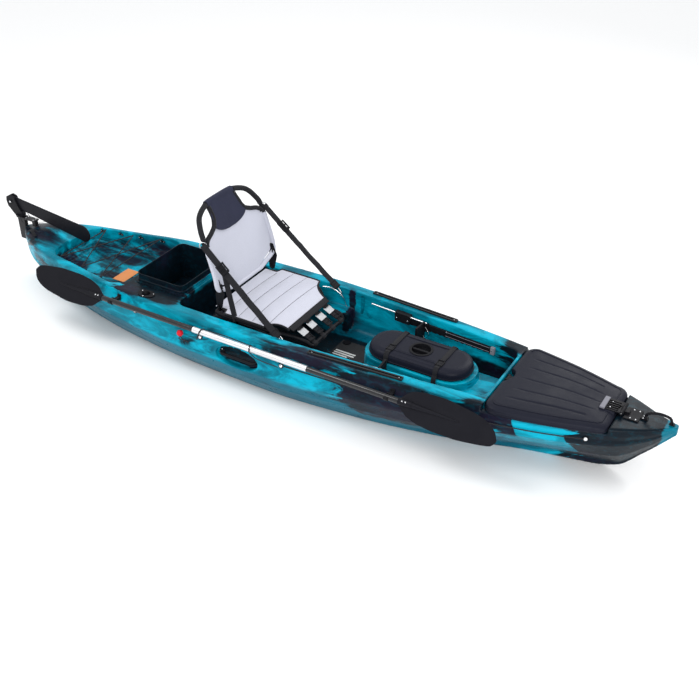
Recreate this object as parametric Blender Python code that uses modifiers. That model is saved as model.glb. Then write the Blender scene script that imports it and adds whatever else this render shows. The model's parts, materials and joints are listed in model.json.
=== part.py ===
"""Sit-on-top fishing kayak with seat, paddle, console pod, hatch, foot braces and rudder.

Frame: metres, +X towards the bow, +Y to port, +Z up. The origin is on the keel, at mid length.
Stations called "from the stern" or "from the bow" are distances from that end of the hull.
"""

import math

import bmesh
import bpy
from mathutils import Matrix, Vector

# Driving dimensions of the hull
HULL_LENGTH = 3.95
HULL_BEAM = 0.84
HULL_DEPTH = 0.335
HULL_WALL = 0.0045
RIM_WIDTH = 0.062
EDGE_ROUND = 0.010
GROOVE_DEPTH = 0.014
STERN_CROWN = 0.030

# Clearances: touching pieces, and pieces that slide or turn
SEAT_GAP = 0.0003
RUN_GAP = 0.0008
WELL_GAP = 0.003

# Cockpit, tank well and bin recess
COCKPIT_AFT = -0.605
COCKPIT_FROM_BOW = 0.830
COCKPIT_FLOOR = 0.110
COCKPIT_CORNER = 0.060
TANK_FROM_STERN = 0.370
TANK_FORWARD = -0.980
TANK_FLOOR = 0.205
TANK_LEDGE = 0.228
TANK_CORNER = 0.090
TANK_RIM = 0.030
LEDGE_AFT = -0.540
LEDGE_FORWARD = 0.150
LEDGE_UNDER_SEAT = 0.053
LEDGE_TOP = 0.225

# Rear bin
BIN_AFT = -0.945
BIN_FORWARD = -0.625
BIN_HALF = 0.200
BIN_TOP = 0.372
BIN_WALL = 0.004
BIN_LIP = 0.016
BIN_RIBS = 5

# Console pedestal, pod, lid, cap and straps
CONSOLE_X = 0.705
CONSOLE_LENGTH = 0.545
FOOTWELL_WIDTH = 0.1453
PEDESTAL_TOP = 0.262
PEDESTAL_MARGIN = 0.012
NECK_HALF = 0.100
NECK_TOP = 0.220
POD_DEPTH = 0.110
POD_WALL = 0.004
POD_FLANGE = 0.004
POD_INSET = 0.024
LID_RISE = 0.050
CAP_RADIUS = 0.052
CAP_RECESS = 0.020
STRAP_SPACING = 0.270
STRAP_WIDTH = 0.025
STRAP_THICKNESS = 0.002

# Bow hatch
HATCH_FROM_BOW = 0.815
HATCH_LENGTH = 0.545
HATCH_MARGIN = 0.004
HATCH_CORNER = 0.060
HATCH_HEIGHT = 0.036
HATCH_CROWN = 0.010
HATCH_WALL = 0.004
NOTCH_HALF = 0.066
NOTCH_DEPTH = 0.032
COAMING_INSET = 0.040
COAMING_WIDTH = 0.006
COAMING_HEIGHT = 0.018
SEAL_HEIGHT = 0.008
HINGE_BEHIND = 0.022
HINGE_PIN_RADIUS = 0.004
HINGE_WIDTH = 0.090
HINGE_LENGTH = 0.100
HINGE_RIBS = 5
LATCH_WIDTH = 0.044

# Gear tracks
TRACK_LENGTH = 0.505
TRACK_X = 0.505
TRACK_WIDTH = 0.026
TRACK_HEIGHT = 0.012
TRACK_SLOT = 0.009
TRACK_INSET = 0.027

# Foot braces
BRACE_AFT = 0.262
BRACE_LENGTH = 0.740
BRACE_HEIGHT = 0.280
RAIL_WIDTH = 0.012
RAIL_DEPTH = 0.036
RAIL_TEETH = 14
GUIDE_BEHIND = 0.130
GUIDE_HALF = 0.045
PEDAL_ALONG = 0.457
PEDAL_ROD_LENGTH = 0.325
PEDAL_ROD_RADIUS = 0.004
PEDAL_WIDTH = 0.085
PEDAL_HEIGHT = 0.135
PEDAL_THICKNESS = 0.010

# Seat
SEAT_REAR = -0.385
SEAT_SHOULDER = -0.050
SEAT_NOSE = 0.045
SEAT_SIDE_GAP = 0.0285
PAN_NOSE_HALF = 0.178
PAN_TOP = 0.358
PAN_NOSE_TOP = 0.318
PAN_THICKNESS = 0.018
FRAME_RADIUS = 0.011
SEAT_BAR_X = 0.161
SEAT_BAR_HEIGHT = 0.128
BACK_HINGE_X = -0.345
BACK_HINGE_Z = 0.372
BACK_ARM_INSET = 0.024
BACK_X = -0.331
BACK_BOTTOM = 0.427
BACK_TOP = 0.858
BACK_INSET = 0.016
BACK_BOTTOM_HALF = 0.115
BACK_RING_HEIGHT = 0.720
BACK_NECK_HALF = 0.128
BACK_NECK_HEIGHT = 0.757
BACK_TOP_HALF = 0.106
BACK_LEAN = 0.160
BACK_DISH = 0.026
BACK_CLOTH = 0.005
HEADREST_CLOTH = 0.009
BACK_LUG = 0.014

# Paddle
PADDLE_X = -0.106
PADDLE_STAND = 0.0257
PADDLE_Z = 0.296
PADDLE_LENGTH = 2.806
SHAFT_RADIUS = 0.0145
SHAFT_IN_BLADE = 0.050
TUBE_X = -0.051
TUBE_RADIUS = 0.0155
TUBE_WALL = 0.0015
TUBE_LENGTH = 0.690
FERRULE_LENGTH = 0.060
BLADE_LENGTH = 0.500
BLADE_WIDTH = 0.166
BLADE_THICKNESS = 0.006
BLADE_TILT = math.radians(52)
CLIP_FROM_BLADE = 0.062
CLIP_WIDTH = 0.022

# Rudder
RUDDER_STEER_AFT = 0.035
RUDDER_PIVOT_AFT = 0.085
STEER_RADIUS = 0.030
RUDDER_PIVOT_Z = 0.445
RUDDER_LENGTH = 0.610
RUDDER_ROOT_HALF = 0.034
RUDDER_TIP_HALF = 0.052
RUDDER_THICKNESS = 0.010
RUDDER_DROOP = math.radians(8)

# Fittings
ROD_RADIUS = 0.0215
ROD_WALL = 0.003
ROD_DEPTH = 0.190
ROD_TILT = math.radians(28)
ROD_X = -0.797
ROD_INSET = 0.0517
CORD_RADIUS = 0.003
BUNGEE_STATIONS = (0.450, 0.640, 0.810)
SCUPPER_RADIUS = 0.015
GRIP_X = -0.132
GRIP_Z = 0.207
GRIP_LENGTH = 0.262
GRIP_HEIGHT = 0.100
GRIP_POCKET = 0.042
GRIP_STAND = 0.024
GRIP_RADIUS = 0.0085

STERN = -HULL_LENGTH / 2
BOW = HULL_LENGTH / 2
HALF_BEAM = HULL_BEAM / 2

# Lines plan: stations as fractions of the length from the stern, half breadths as fractions
# of the half beam, heights as fractions of the depth amidships
STATIONS = (0, 0.014, 0.04, 0.09, 0.16, 0.26, 0.38, 0.50, 0.62, 0.74, 0.85, 0.91, 0.94, 0.97, 1)
GUNWALE_HALF = (0.04, 0.165, 0.31, 0.485, 0.62, 0.785, 0.85, 0.862, 0.812, 0.722, 0.575, 0.435, 0.335, 0.19, 0.03)
GUNWALE_HEIGHT = (0.90, 0.905, 0.91, 0.918, 0.932, 0.96, 0.985, 1, 1, 0.99, 0.98, 0.98, 0.98, 0.985, 1.03)
CHINE_HALF = (0.04, 0.16, 0.315, 0.505, 0.69, 0.875, 0.985, 1, 0.95, 0.83, 0.62, 0.44, 0.335, 0.185, 0.029)
CHINE_HEIGHT = (0.64, 0.60, 0.56, 0.525, 0.51, 0.50, 0.495, 0.505, 0.615, 0.68, 0.715, 0.732, 0.75, 0.80, 0.99)
BILGE_HALF = (0.03, 0.06, 0.16, 0.33, 0.52, 0.715, 0.83, 0.862, 0.77, 0.55, 0.21, 0.085, 0.045, 0.032, 0.027)
BILGE_HEIGHT = (0.50, 0.33, 0.22, 0.165, 0.145, 0.14, 0.145, 0.15, 0.15, 0.148, 0.14, 0.135, 0.17, 0.50, 0.95)
KEEL_HEIGHT = (0.44, 0.27, 0.115, 0.012, 0, 0, 0, 0, 0, 0, 0, 0.02, 0.10, 0.46, 0.90)
LOFT_STATIONS = 30

# Edges of a paddle blade: stations as fractions of its length from the shaft, and how far
# its short and its long side reach from the spine as fractions of its width
BLADE_STATIONS = (0, 0.10, 0.24, 0.42, 0.60, 0.76, 0.88, 0.96, 1)
BLADE_SHORT_SIDE = (0.11, 0.37, 0.46, 0.48, 0.42, 0.35, 0.23, 0.06, -0.14)
BLADE_LONG_SIDE = (0.12, 0.33, 0.45, 0.50, 0.50, 0.45, 0.40, 0.34, 0.20)
BLADE_SAMPLES = 14


def clear_scene():
    for old in list(bpy.data.objects):
        bpy.data.objects.remove(old, do_unlink=True)


def new_collection(name):
    group = bpy.data.collections.new(name)
    bpy.context.scene.collection.children.link(group)
    return group


clear_scene()
KAYAK = new_collection("fishing_kayak")
TOOLS = new_collection("cutters")


def material(name, colour, roughness, metallic=0.0):
    mat = bpy.data.materials.new(name)
    mat.use_nodes = True
    shader = mat.node_tree.nodes["Principled BSDF"]
    shader.inputs["Base Color"].default_value = (*colour, 1)
    shader.inputs["Roughness"].default_value = roughness
    shader.inputs["Metallic"].default_value = metallic
    return mat


TEAL = material("moulded_teal", (0.0, 0.34, 0.45), 0.3)
BLACK = material("black_plastic", (0.012, 0.012, 0.016), 0.45)
LID_GREY = material("lid_plastic", (0.028, 0.028, 0.045), 0.42)
RUBBER = material("black_rubber", (0.010, 0.010, 0.010), 0.8)
ALUMINIUM = material("bare_aluminium", (0.80, 0.81, 0.83), 0.3, 1.0)
DARK_METAL = material("black_anodised", (0.02, 0.02, 0.022), 0.35, 0.6)
STEEL = material("stainless_steel", (0.65, 0.66, 0.68), 0.2, 1.0)
MESH_GREY = material("grey_mesh_cloth", (0.62, 0.64, 0.72), 0.85)
NAVY = material("navy_cloth", (0.022, 0.025, 0.05), 0.85)
WEBBING = material("black_webbing", (0.012, 0.012, 0.014), 0.9)
CORD = material("black_cord", (0.010, 0.010, 0.012), 0.85)
RED = material("red_plastic", (0.60, 0.02, 0.03), 0.35)


def add_object(name, data):
    obj = bpy.data.objects.new(name, data)
    TOOLS.objects.link(obj)
    obj.hide_render = True
    obj.display_type = "WIRE"
    return obj


def from_bmesh(bm, name="shape"):
    bmesh.ops.recalc_face_normals(bm, faces=bm.faces)
    mesh = bpy.data.meshes.new(name)
    bm.to_mesh(mesh)
    bm.free()
    return add_object(name, mesh)


def as_mesh(obj):
    """Turn a curve, or an object with modifiers, into a plain mesh object in world space."""
    bpy.context.view_layer.update()
    seen = obj.evaluated_get(bpy.context.evaluated_depsgraph_get())
    mesh = bpy.data.meshes.new_from_object(seen)
    mesh.transform(obj.matrix_world)
    bm = bmesh.new()
    bm.from_mesh(mesh)
    bmesh.ops.remove_doubles(bm, verts=bm.verts, dist=0.00001)
    bpy.data.meshes.remove(mesh)
    bpy.data.objects.remove(obj, do_unlink=True)
    return from_bmesh(bm)


def part(obj, name, mat, smooth=None, origin=None):
    """Make a shape one of the kayak's pieces, with its origin on its axis if it moves."""
    TOOLS.objects.unlink(obj)
    KAYAK.objects.link(obj)
    obj.hide_render = False
    obj.display_type = "TEXTURED"
    obj.name = name
    obj.data.name = name
    obj.data.materials.clear()
    obj.data.materials.append(mat)
    if smooth is not None:
        obj.data.shade_smooth()
        obj.data.set_sharp_from_angle(angle=math.radians(smooth))
    if origin is not None:
        obj.data.transform(Matrix.Translation(-Vector(origin)))
        obj.location = origin
    return obj


def combine(obj, tools, operation):
    for tool in tools:
        step = obj.modifiers.new(operation.lower(), "BOOLEAN")
        step.operation = operation
        step.solver = "EXACT"
        step.object = tool
    return obj


def cut(obj, *tools):
    return combine(obj, tools, "DIFFERENCE")


def fuse(obj, *others):
    return combine(obj, others, "UNION")


def join(*shapes):
    """Several separate shapes as one object, for a cutter that cuts in several places."""
    bm = bmesh.new()
    for shape in shapes:
        bm.from_mesh(shape.data)
        bpy.data.objects.remove(shape, do_unlink=True)
    return from_bmesh(bm)


def box(low, high, bevel=0.0):
    low, high = Vector(low), Vector(high)
    bm = bmesh.new()
    bmesh.ops.create_cube(bm, size=1)
    bmesh.ops.scale(bm, vec=high - low, verts=bm.verts)
    bmesh.ops.translate(bm, vec=(low + high) / 2, verts=bm.verts)
    if bevel:
        bmesh.ops.bevel(bm, geom=bm.edges[:], offset=bevel, segments=1, affect="EDGES", profile=0.5)
    return from_bmesh(bm)


def rod(start, end, radius, sides=16, end_radius=None):
    """A cylinder or cone between two points."""
    start, end = Vector(start), Vector(end)
    bm = bmesh.new()
    bmesh.ops.create_cone(
        bm, cap_ends=True, segments=sides, radius1=radius,
        radius2=radius if end_radius is None else end_radius, depth=(end - start).length)
    turn = (end - start).to_track_quat("Z", "Y").to_matrix().to_4x4()
    bmesh.ops.transform(bm, matrix=Matrix.Translation((start + end) / 2) @ turn, verts=bm.verts)
    return from_bmesh(bm)


def ball(centre, radius):
    bm = bmesh.new()
    bmesh.ops.create_uvsphere(bm, u_segments=12, v_segments=8, radius=radius)
    bmesh.ops.translate(bm, vec=centre, verts=bm.verts)
    return from_bmesh(bm)


def skin(rings):
    """A closed body through rings of points of equal count, with a flat face on each end."""
    bm = bmesh.new()
    rows = [[bm.verts.new(point) for point in ring] for ring in rings]
    count = len(rows[0])
    for one, two in zip(rows, rows[1:]):
        for i in range(count):
            j = (i + 1) % count
            bm.faces.new((one[i], one[j], two[j], two[i]))
    bm.faces.new(rows[0])
    bm.faces.new(rows[-1])
    bmesh.ops.triangulate(bm, faces=[face for face in bm.faces if len(face.verts) == 4])
    return from_bmesh(bm)


def plate(outline, low, high, place=None):
    """A flat outline in x and y between two heights, then moved by a matrix."""
    curve = bpy.data.curves.new("outline", "CURVE")
    curve.dimensions = "2D"
    curve.fill_mode = "BOTH"
    curve.extrude = (high - low) / 2
    spline = curve.splines.new("POLY")
    spline.points.add(len(outline) - 1)
    for point, (x, y) in zip(spline.points, outline):
        point.co = (x, y, 0, 1)
    spline.use_cyclic_u = True
    obj = add_object("outline", curve)
    obj.matrix_world = (place or Matrix()) @ Matrix.Translation((0, 0, (low + high) / 2))
    return as_mesh(obj)


def tube(points, radius, sides=8, closed=False, swell=None):
    curve = bpy.data.curves.new("tube", "CURVE")
    curve.dimensions = "3D"
    curve.bevel_depth = radius
    curve.bevel_resolution = (sides - 4) // 2
    curve.use_fill_caps = not closed
    spline = curve.splines.new("POLY")
    spline.points.add(len(points) - 1)
    for i, (point, place) in enumerate(zip(spline.points, points)):
        point.co = (*place, 1)
        point.radius = swell[i] if swell else 1
    spline.use_cyclic_u = closed
    return as_mesh(add_object("tube", curve))


def band(points, across, thickness):
    """A flat strap along a path: an open strip with Solidify."""
    half = Vector(across) / 2
    bm = bmesh.new()
    rows = [(bm.verts.new(Vector(p) - half), bm.verts.new(Vector(p) + half)) for p in points]
    for one, two in zip(rows, rows[1:]):
        bm.faces.new((one[0], one[1], two[1], two[0]))
    mesh = bpy.data.meshes.new("band")
    bm.to_mesh(mesh)
    bm.free()
    obj = add_object("band", mesh)
    wall = obj.modifiers.new("thickness", "SOLIDIFY")
    wall.thickness = thickness
    wall.offset = 0
    wall.use_even_offset = True
    return as_mesh(obj)


def curve_points(knots, steps):
    """Points on a smooth curve through knots, with some steps between each pair."""
    knots = [Vector(k) for k in knots]
    ends = [2 * knots[0] - knots[1]] + knots + [2 * knots[-1] - knots[-2]]
    points = []
    for a, b, c, d in zip(ends, ends[1:], ends[2:], ends[3:]):
        for i in range(steps):
            s = i / steps
            points.append(0.5 * (2 * b + (c - a) * s + (2 * a - 5 * b + 4 * c - d) * s * s
                                 + (3 * b - a - 3 * c + d) * s ** 3))
    return points + [knots[-1]]


def smooth(stations, values, t):
    """Value at t of the monotone cubic through the stations."""
    i = max(j for j, s in enumerate(stations[:-1]) if s <= max(t, 0))
    steps = [b - a for a, b in zip(stations, stations[1:])]
    slopes = [(b - a) / h for a, b, h in zip(values, values[1:], steps)]

    def tangent(j):
        if j in (0, len(values) - 1):
            return slopes[min(j, len(slopes) - 1)]
        if slopes[j - 1] * slopes[j] <= 0:
            return 0
        return 2 * slopes[j - 1] * slopes[j] / (slopes[j - 1] + slopes[j])

    s = (min(t, 1) - stations[i]) / steps[i]
    hermite = (2 * s ** 3 - 3 * s ** 2 + 1, (s ** 3 - 2 * s ** 2 + s) * steps[i],
               3 * s ** 2 - 2 * s ** 3, (s ** 3 - s ** 2) * steps[i])
    return (values[i] * hermite[0] + tangent(i) * hermite[1]
            + values[i + 1] * hermite[2] + tangent(i + 1) * hermite[3])


def fraction(x):
    return (x - STERN) / HULL_LENGTH


def gunwale_half(x):
    return HALF_BEAM * smooth(STATIONS, GUNWALE_HALF, fraction(x))


def gunwale_height(x):
    return HULL_DEPTH * smooth(STATIONS, GUNWALE_HEIGHT, fraction(x))


def chine_half(x):
    return HALF_BEAM * smooth(STATIONS, CHINE_HALF, fraction(x))


def chine_height(x):
    return HULL_DEPTH * smooth(STATIONS, CHINE_HEIGHT, fraction(x))


def deck_crown(x):
    """Height of the stern deck's hump over its edges."""
    d = (x - STERN) / TANK_FROM_STERN
    return STERN_CROWN * math.sin(math.pi * d) ** 2 if 0 < d < 1 else 0.0


def side_half(x, z):
    """Half breadth of the straight topside at a height between chine and gunwale."""
    s = (z - chine_height(x)) / (gunwale_height(x) - chine_height(x))
    return chine_half(x) + s * (gunwale_half(x) - chine_half(x)) + bulge(x) * 4 * s * (1 - s)


def bulge(x):
    return 0.4 * edge_round(x)


def edge_round(x):
    return EDGE_ROUND * min(1, gunwale_half(x) / 0.08)


def hull_ring(x, inset=0.0):
    """Cross section of the hull at a station, or of its inner face when inset by the wall."""
    t = fraction(x)
    g = gunwale_half(x) - inset
    gz = gunwale_height(x) - inset
    c = chine_half(x) - 1.1 * inset
    cz = chine_height(x)
    k = HULL_DEPTH * smooth(STATIONS, KEEL_HEIGHT, t) + inset
    b = max(HALF_BEAM * smooth(STATIONS, BILGE_HALF, t) - inset, 0.3 * HALF_BEAM * smooth(STATIONS, BILGE_HALF, t))
    bz = HULL_DEPTH * smooth(STATIONS, BILGE_HEIGHT, t) + 0.5 * inset
    groove = GROOVE_DEPTH * min(1, max(0, (b - 0.1) / 0.15))
    r = edge_round(x)
    h = gz - cz
    crown = deck_crown(x)
    half = [
        (0, k), (0.14 * b, k), (0.27 * b, k + groove), (0.42 * b, k + groove), (0.55 * b, k), (0.80 * b, k),
        (0.93 * b, k + 0.28 * (bz - k)), (b, bz), (b + 0.55 * (c - b), bz + 0.42 * (cz - bz)),
        (c - 0.3 * r, cz - 0.10 * (cz - bz)), (c, cz), (c - 0.4 * r, cz + 0.10 * h),
        (c + 0.5 * (g - c) + bulge(x), cz + 0.5 * h), (g + 0.4 * r, gz - 0.14 * h), (g, gz - 0.06 * h),
        (g - r, gz), (0.62 * g, gz + 0.6 * crown), (0.3 * g, gz + 0.92 * crown), (0, gz + crown)]
    starboard = [(x, -y, z) for y, z in half]
    port = [(x, y, z) for y, z in half[-2:0:-1]]
    return starboard + port


def loft_stations():
    count = LOFT_STATIONS
    return [STERN + HULL_LENGTH * (0.5 - 0.5 * math.cos(math.pi * i / (count - 1))) for i in range(count)]


def plan(aft, forward, half, corner, inset=0.0, samples=5):
    """Outline seen from above, widest as half(x), with round corners, set in from its edge."""
    aft, forward = aft + inset, forward - inset
    corner = max(corner - inset, 0.006)
    side = []
    for i in range(samples):
        x = aft + corner + (forward - aft - 2 * corner) * i / (samples - 1)
        side.append((x, half(x) - inset))
    front, back = [], []
    for degrees in (60, 30, 0):
        c, s = math.cos(math.radians(degrees)), math.sin(math.radians(degrees))
        front.append((forward - corner + corner * c, side[-1][1] - corner + corner * s))
        back.append((aft + corner - corner * c, side[0][1] - corner + corner * s))
    edge = back[::-1] + side + front
    return [(x, -y) for x, y in edge] + edge[::-1]


def well(aft, forward, half, corner, levels, samples=5):
    """A body stacked from outlines: levels are (height, inset) from the top down."""
    return skin([[(x, y, z) for x, y in plan(aft, forward, half, corner, inset, samples)]
                 for z, inset in levels])


def grown(levels, floor, by):
    """The same levels a wall thickness wider, with the floor a wall thickness lower."""
    return [(z - by if z < floor + 0.05 else z, inset - by) for z, inset in levels]


COCKPIT_FORWARD = BOW - COCKPIT_FROM_BOW
TANK_AFT = STERN + TANK_FROM_STERN
HATCH_AFT = BOW - HATCH_FROM_BOW
HATCH_FORWARD = HATCH_AFT + HATCH_LENGTH
HATCH_SHELF = min(gunwale_height(HATCH_AFT), gunwale_height(HATCH_FORWARD)) - 0.028
BIN_FLOOR = 0.160
ABOVE = HULL_DEPTH + 0.15


def rim_half(x):
    return gunwale_half(x) - RIM_WIDTH


def tank_half(x):
    return gunwale_half(x) - TANK_RIM


def console_half(x):
    return CONSOLE_HALF


def bin_half(x):
    return BIN_HALF


def hatch_half(x):
    return side_half(x, HATCH_SHELF) + HATCH_MARGIN


CONSOLE_HALF = rim_half(CONSOLE_X) - FOOTWELL_WIDTH
CONSOLE_AFT = CONSOLE_X - CONSOLE_LENGTH / 2
CONSOLE_FORWARD = CONSOLE_X + CONSOLE_LENGTH / 2
CONSOLE_CORNER = CONSOLE_HALF - 0.008
PAN_HALF = rim_half(SEAT_REAR) - SEAT_SIDE_GAP
LEDGE_INNER = PAN_HALF - LEDGE_UNDER_SEAT
BACK_ARM_Y = PAN_HALF - BACK_ARM_INSET
BACK_HALF = PAN_HALF - BACK_INSET
BACK_RING_HALF = BACK_HALF - 0.004
ROD_Y = gunwale_half(ROD_X) - ROD_INSET
PADDLE_Y = -side_half(0, PADDLE_Z) - PADDLE_STAND
CLIP_AFT_X = PADDLE_X - PADDLE_LENGTH / 2 + BLADE_LENGTH + CLIP_FROM_BLADE
CLIP_FORWARD_X = PADDLE_X + PADDLE_LENGTH / 2 - BLADE_LENGTH - CLIP_FROM_BLADE


def cockpit_cutter(grow):
    """The cockpit, less the seat ledges on its sides and the pedestal down its middle."""
    levels = [(ABOVE, 0), (0.26, 0.006), (0.15, 0.018), (0.124, 0.034), (COCKPIT_FLOOR, 0.060)]
    space = well(COCKPIT_AFT, COCKPIT_FORWARD, rim_half, COCKPIT_CORNER,
                 grown(levels, COCKPIT_FLOOR, grow), 8)
    ledges = join(*[box((LEDGE_AFT + grow, side * (LEDGE_INNER + grow), 0),
                        (LEDGE_FORWARD - grow, side * HULL_BEAM, LEDGE_TOP - grow))
                    for side in (-1, 1)])
    pedestal = well(CONSOLE_AFT - PEDESTAL_MARGIN, CONSOLE_FORWARD + PEDESTAL_MARGIN,
                    console_half, CONSOLE_CORNER,
                    [(PEDESTAL_TOP - grow, grow - PEDESTAL_MARGIN), (0, grow - PEDESTAL_MARGIN - 0.016)], 2)
    neck = box((CONSOLE_X, -NECK_HALF + grow, 0), (BOW, NECK_HALF - grow, NECK_TOP - grow))
    return cut(space, ledges, pedestal, neck)


def tank_cutter(grow):
    """The tank well, with a ledge round its floor."""
    levels = [(ABOVE, 0), (0.30, 0.002), (TANK_LEDGE + 0.012, 0.012), (TANK_LEDGE, 0.020),
              (TANK_LEDGE, 0.044), (TANK_FLOOR + 0.006, 0.050), (TANK_FLOOR, 0.060)]
    return well(TANK_AFT, TANK_FORWARD, tank_half, TANK_CORNER, grown(levels, TANK_FLOOR, grow))


def recess_cutters(grow):
    """Recesses for the rear bin and the pod, grip pockets, hatch shelf and track seats."""
    depth = PEDESTAL_TOP - POD_DEPTH - WELL_GAP - grow
    shapes = [
        well(BIN_AFT, BIN_FORWARD, bin_half, 0.035,
             [(ABOVE, -WELL_GAP - grow), (BIN_FLOOR - BIN_WALL - WELL_GAP - grow, -WELL_GAP - grow)], 2),
        well(BIN_AFT, BIN_FORWARD, bin_half, 0.035,
             [(ABOVE, -BIN_LIP - WELL_GAP - grow), (bin_seat() - grow, -BIN_LIP - WELL_GAP - grow)], 2),
        well(CONSOLE_AFT, CONSOLE_FORWARD, console_half, CONSOLE_CORNER,
             [(ABOVE, POD_INSET - WELL_GAP - grow), (depth, POD_INSET - WELL_GAP - grow)], 2),
        box((HATCH_AFT - 0.004 - grow, -HULL_BEAM, HATCH_SHELF - grow),
            (HATCH_FORWARD + 0.004 + grow, HULL_BEAM, ABOVE))]
    for side in (-1, 1):
        wall = chine_half(GRIP_X) - GRIP_POCKET - grow
        oval = rod((GRIP_X, side * wall, GRIP_Z), (GRIP_X, side * HULL_BEAM, GRIP_Z), 1, 24)
        for vertex in oval.data.vertices:
            vertex.co.x = GRIP_X + (vertex.co.x - GRIP_X) * (GRIP_LENGTH / 2 + grow)
            vertex.co.z = GRIP_Z + (vertex.co.z - GRIP_Z) * (GRIP_HEIGHT / 2 + grow)
        shapes.append(oval)
    return shapes


def bin_seat():
    """Height of the flat seat round the bin's recess, just under the sloping deck."""
    return gunwale_height(BIN_AFT - BIN_LIP) - 0.001


def scupper_places():
    return [(0.20, 0.130, COCKPIT_FLOOR), (0.20, -0.130, COCKPIT_FLOOR),
            (TANK_FORWARD - 0.14, 0.150, TANK_FLOOR), (TANK_FORWARD - 0.14, -0.150, TANK_FLOOR)]


def scupper_cutter(grow):
    """Drain holes right through floor and bottom, wider where the plug sits."""
    holes = []
    for x, y, floor in scupper_places():
        holes.append(rod((x, y, -0.05), (x, y, floor + 0.05), SCUPPER_RADIUS + grow, 16))
    return join(*holes)


def track_ends(side):
    """The two ends of a gear track, on the rim at the height of its seat."""
    ends = []
    height = min(gunwale_height(TRACK_X - TRACK_LENGTH / 2), gunwale_height(TRACK_X + TRACK_LENGTH / 2))
    for x in (TRACK_X - TRACK_LENGTH / 2, TRACK_X + TRACK_LENGTH / 2):
        ends.append(Vector((x, side * (gunwale_half(x) - TRACK_INSET), height - 0.002)))
    return ends


def along(start, end):
    """Matrix that lays +X from start to end, with +Z up."""
    run = (end - start).normalized()
    across = Vector((0, 0, 1)).cross(run).normalized()
    up = run.cross(across)
    return Matrix.Translation(start) @ Matrix((run, across, up)).transposed().to_4x4()


def track_seat(side):
    start, end = track_ends(side)
    seat = box((-SEAT_GAP, -TRACK_WIDTH / 2 - SEAT_GAP, 0),
               ((end - start).length + SEAT_GAP, TRACK_WIDTH / 2 + SEAT_GAP, 0.1))
    seat.data.transform(along(start, end))
    return seat


def rod_axis(side):
    """A point on the rod holder's flange plane and the unit direction down its tube."""
    top = Vector((ROD_X, side * ROD_Y, gunwale_height(ROD_X)))
    return top, Vector((math.sin(ROD_TILT), 0, -math.cos(ROD_TILT)))


def build_hull():
    stations = loft_stations()
    hull = skin([hull_ring(x) for x in stations])
    inside = [x for x in stations if STERN + 0.08 < x < BOW - 0.14]
    inner = skin([hull_ring(x, HULL_WALL) for x in inside[::2]])
    cut(hull, cockpit_cutter(0), tank_cutter(0), *recess_cutters(0), scupper_cutter(0),
        track_seat(1), track_seat(-1))
    cut(inner, cockpit_cutter(HULL_WALL), tank_cutter(HULL_WALL), *recess_cutters(HULL_WALL),
        scupper_cutter(HULL_WALL))
    cut(hull, inner)
    coaming = well(HATCH_AFT, HATCH_FORWARD, hatch_half, HATCH_CORNER,
                   [(HATCH_SHELF + COAMING_HEIGHT, COAMING_INSET), (HATCH_SHELF - 0.003, COAMING_INSET)])
    fuse(hull, coaming)
    opening = well(HATCH_AFT, HATCH_FORWARD, hatch_half, HATCH_CORNER,
                   [(ABOVE, COAMING_INSET + COAMING_WIDTH), (HATCH_SHELF - 0.03, COAMING_INSET + COAMING_WIDTH)])
    holes = []
    for side in (-1, 1):
        top, down = rod_axis(side)
        holes.append(rod(top - 0.05 * down, top + 0.05 * down, ROD_RADIUS + ROD_WALL + 0.001, 24))
    cut(hull, opening, *holes)
    return part(hull, "hull", TEAL, 40)


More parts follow.
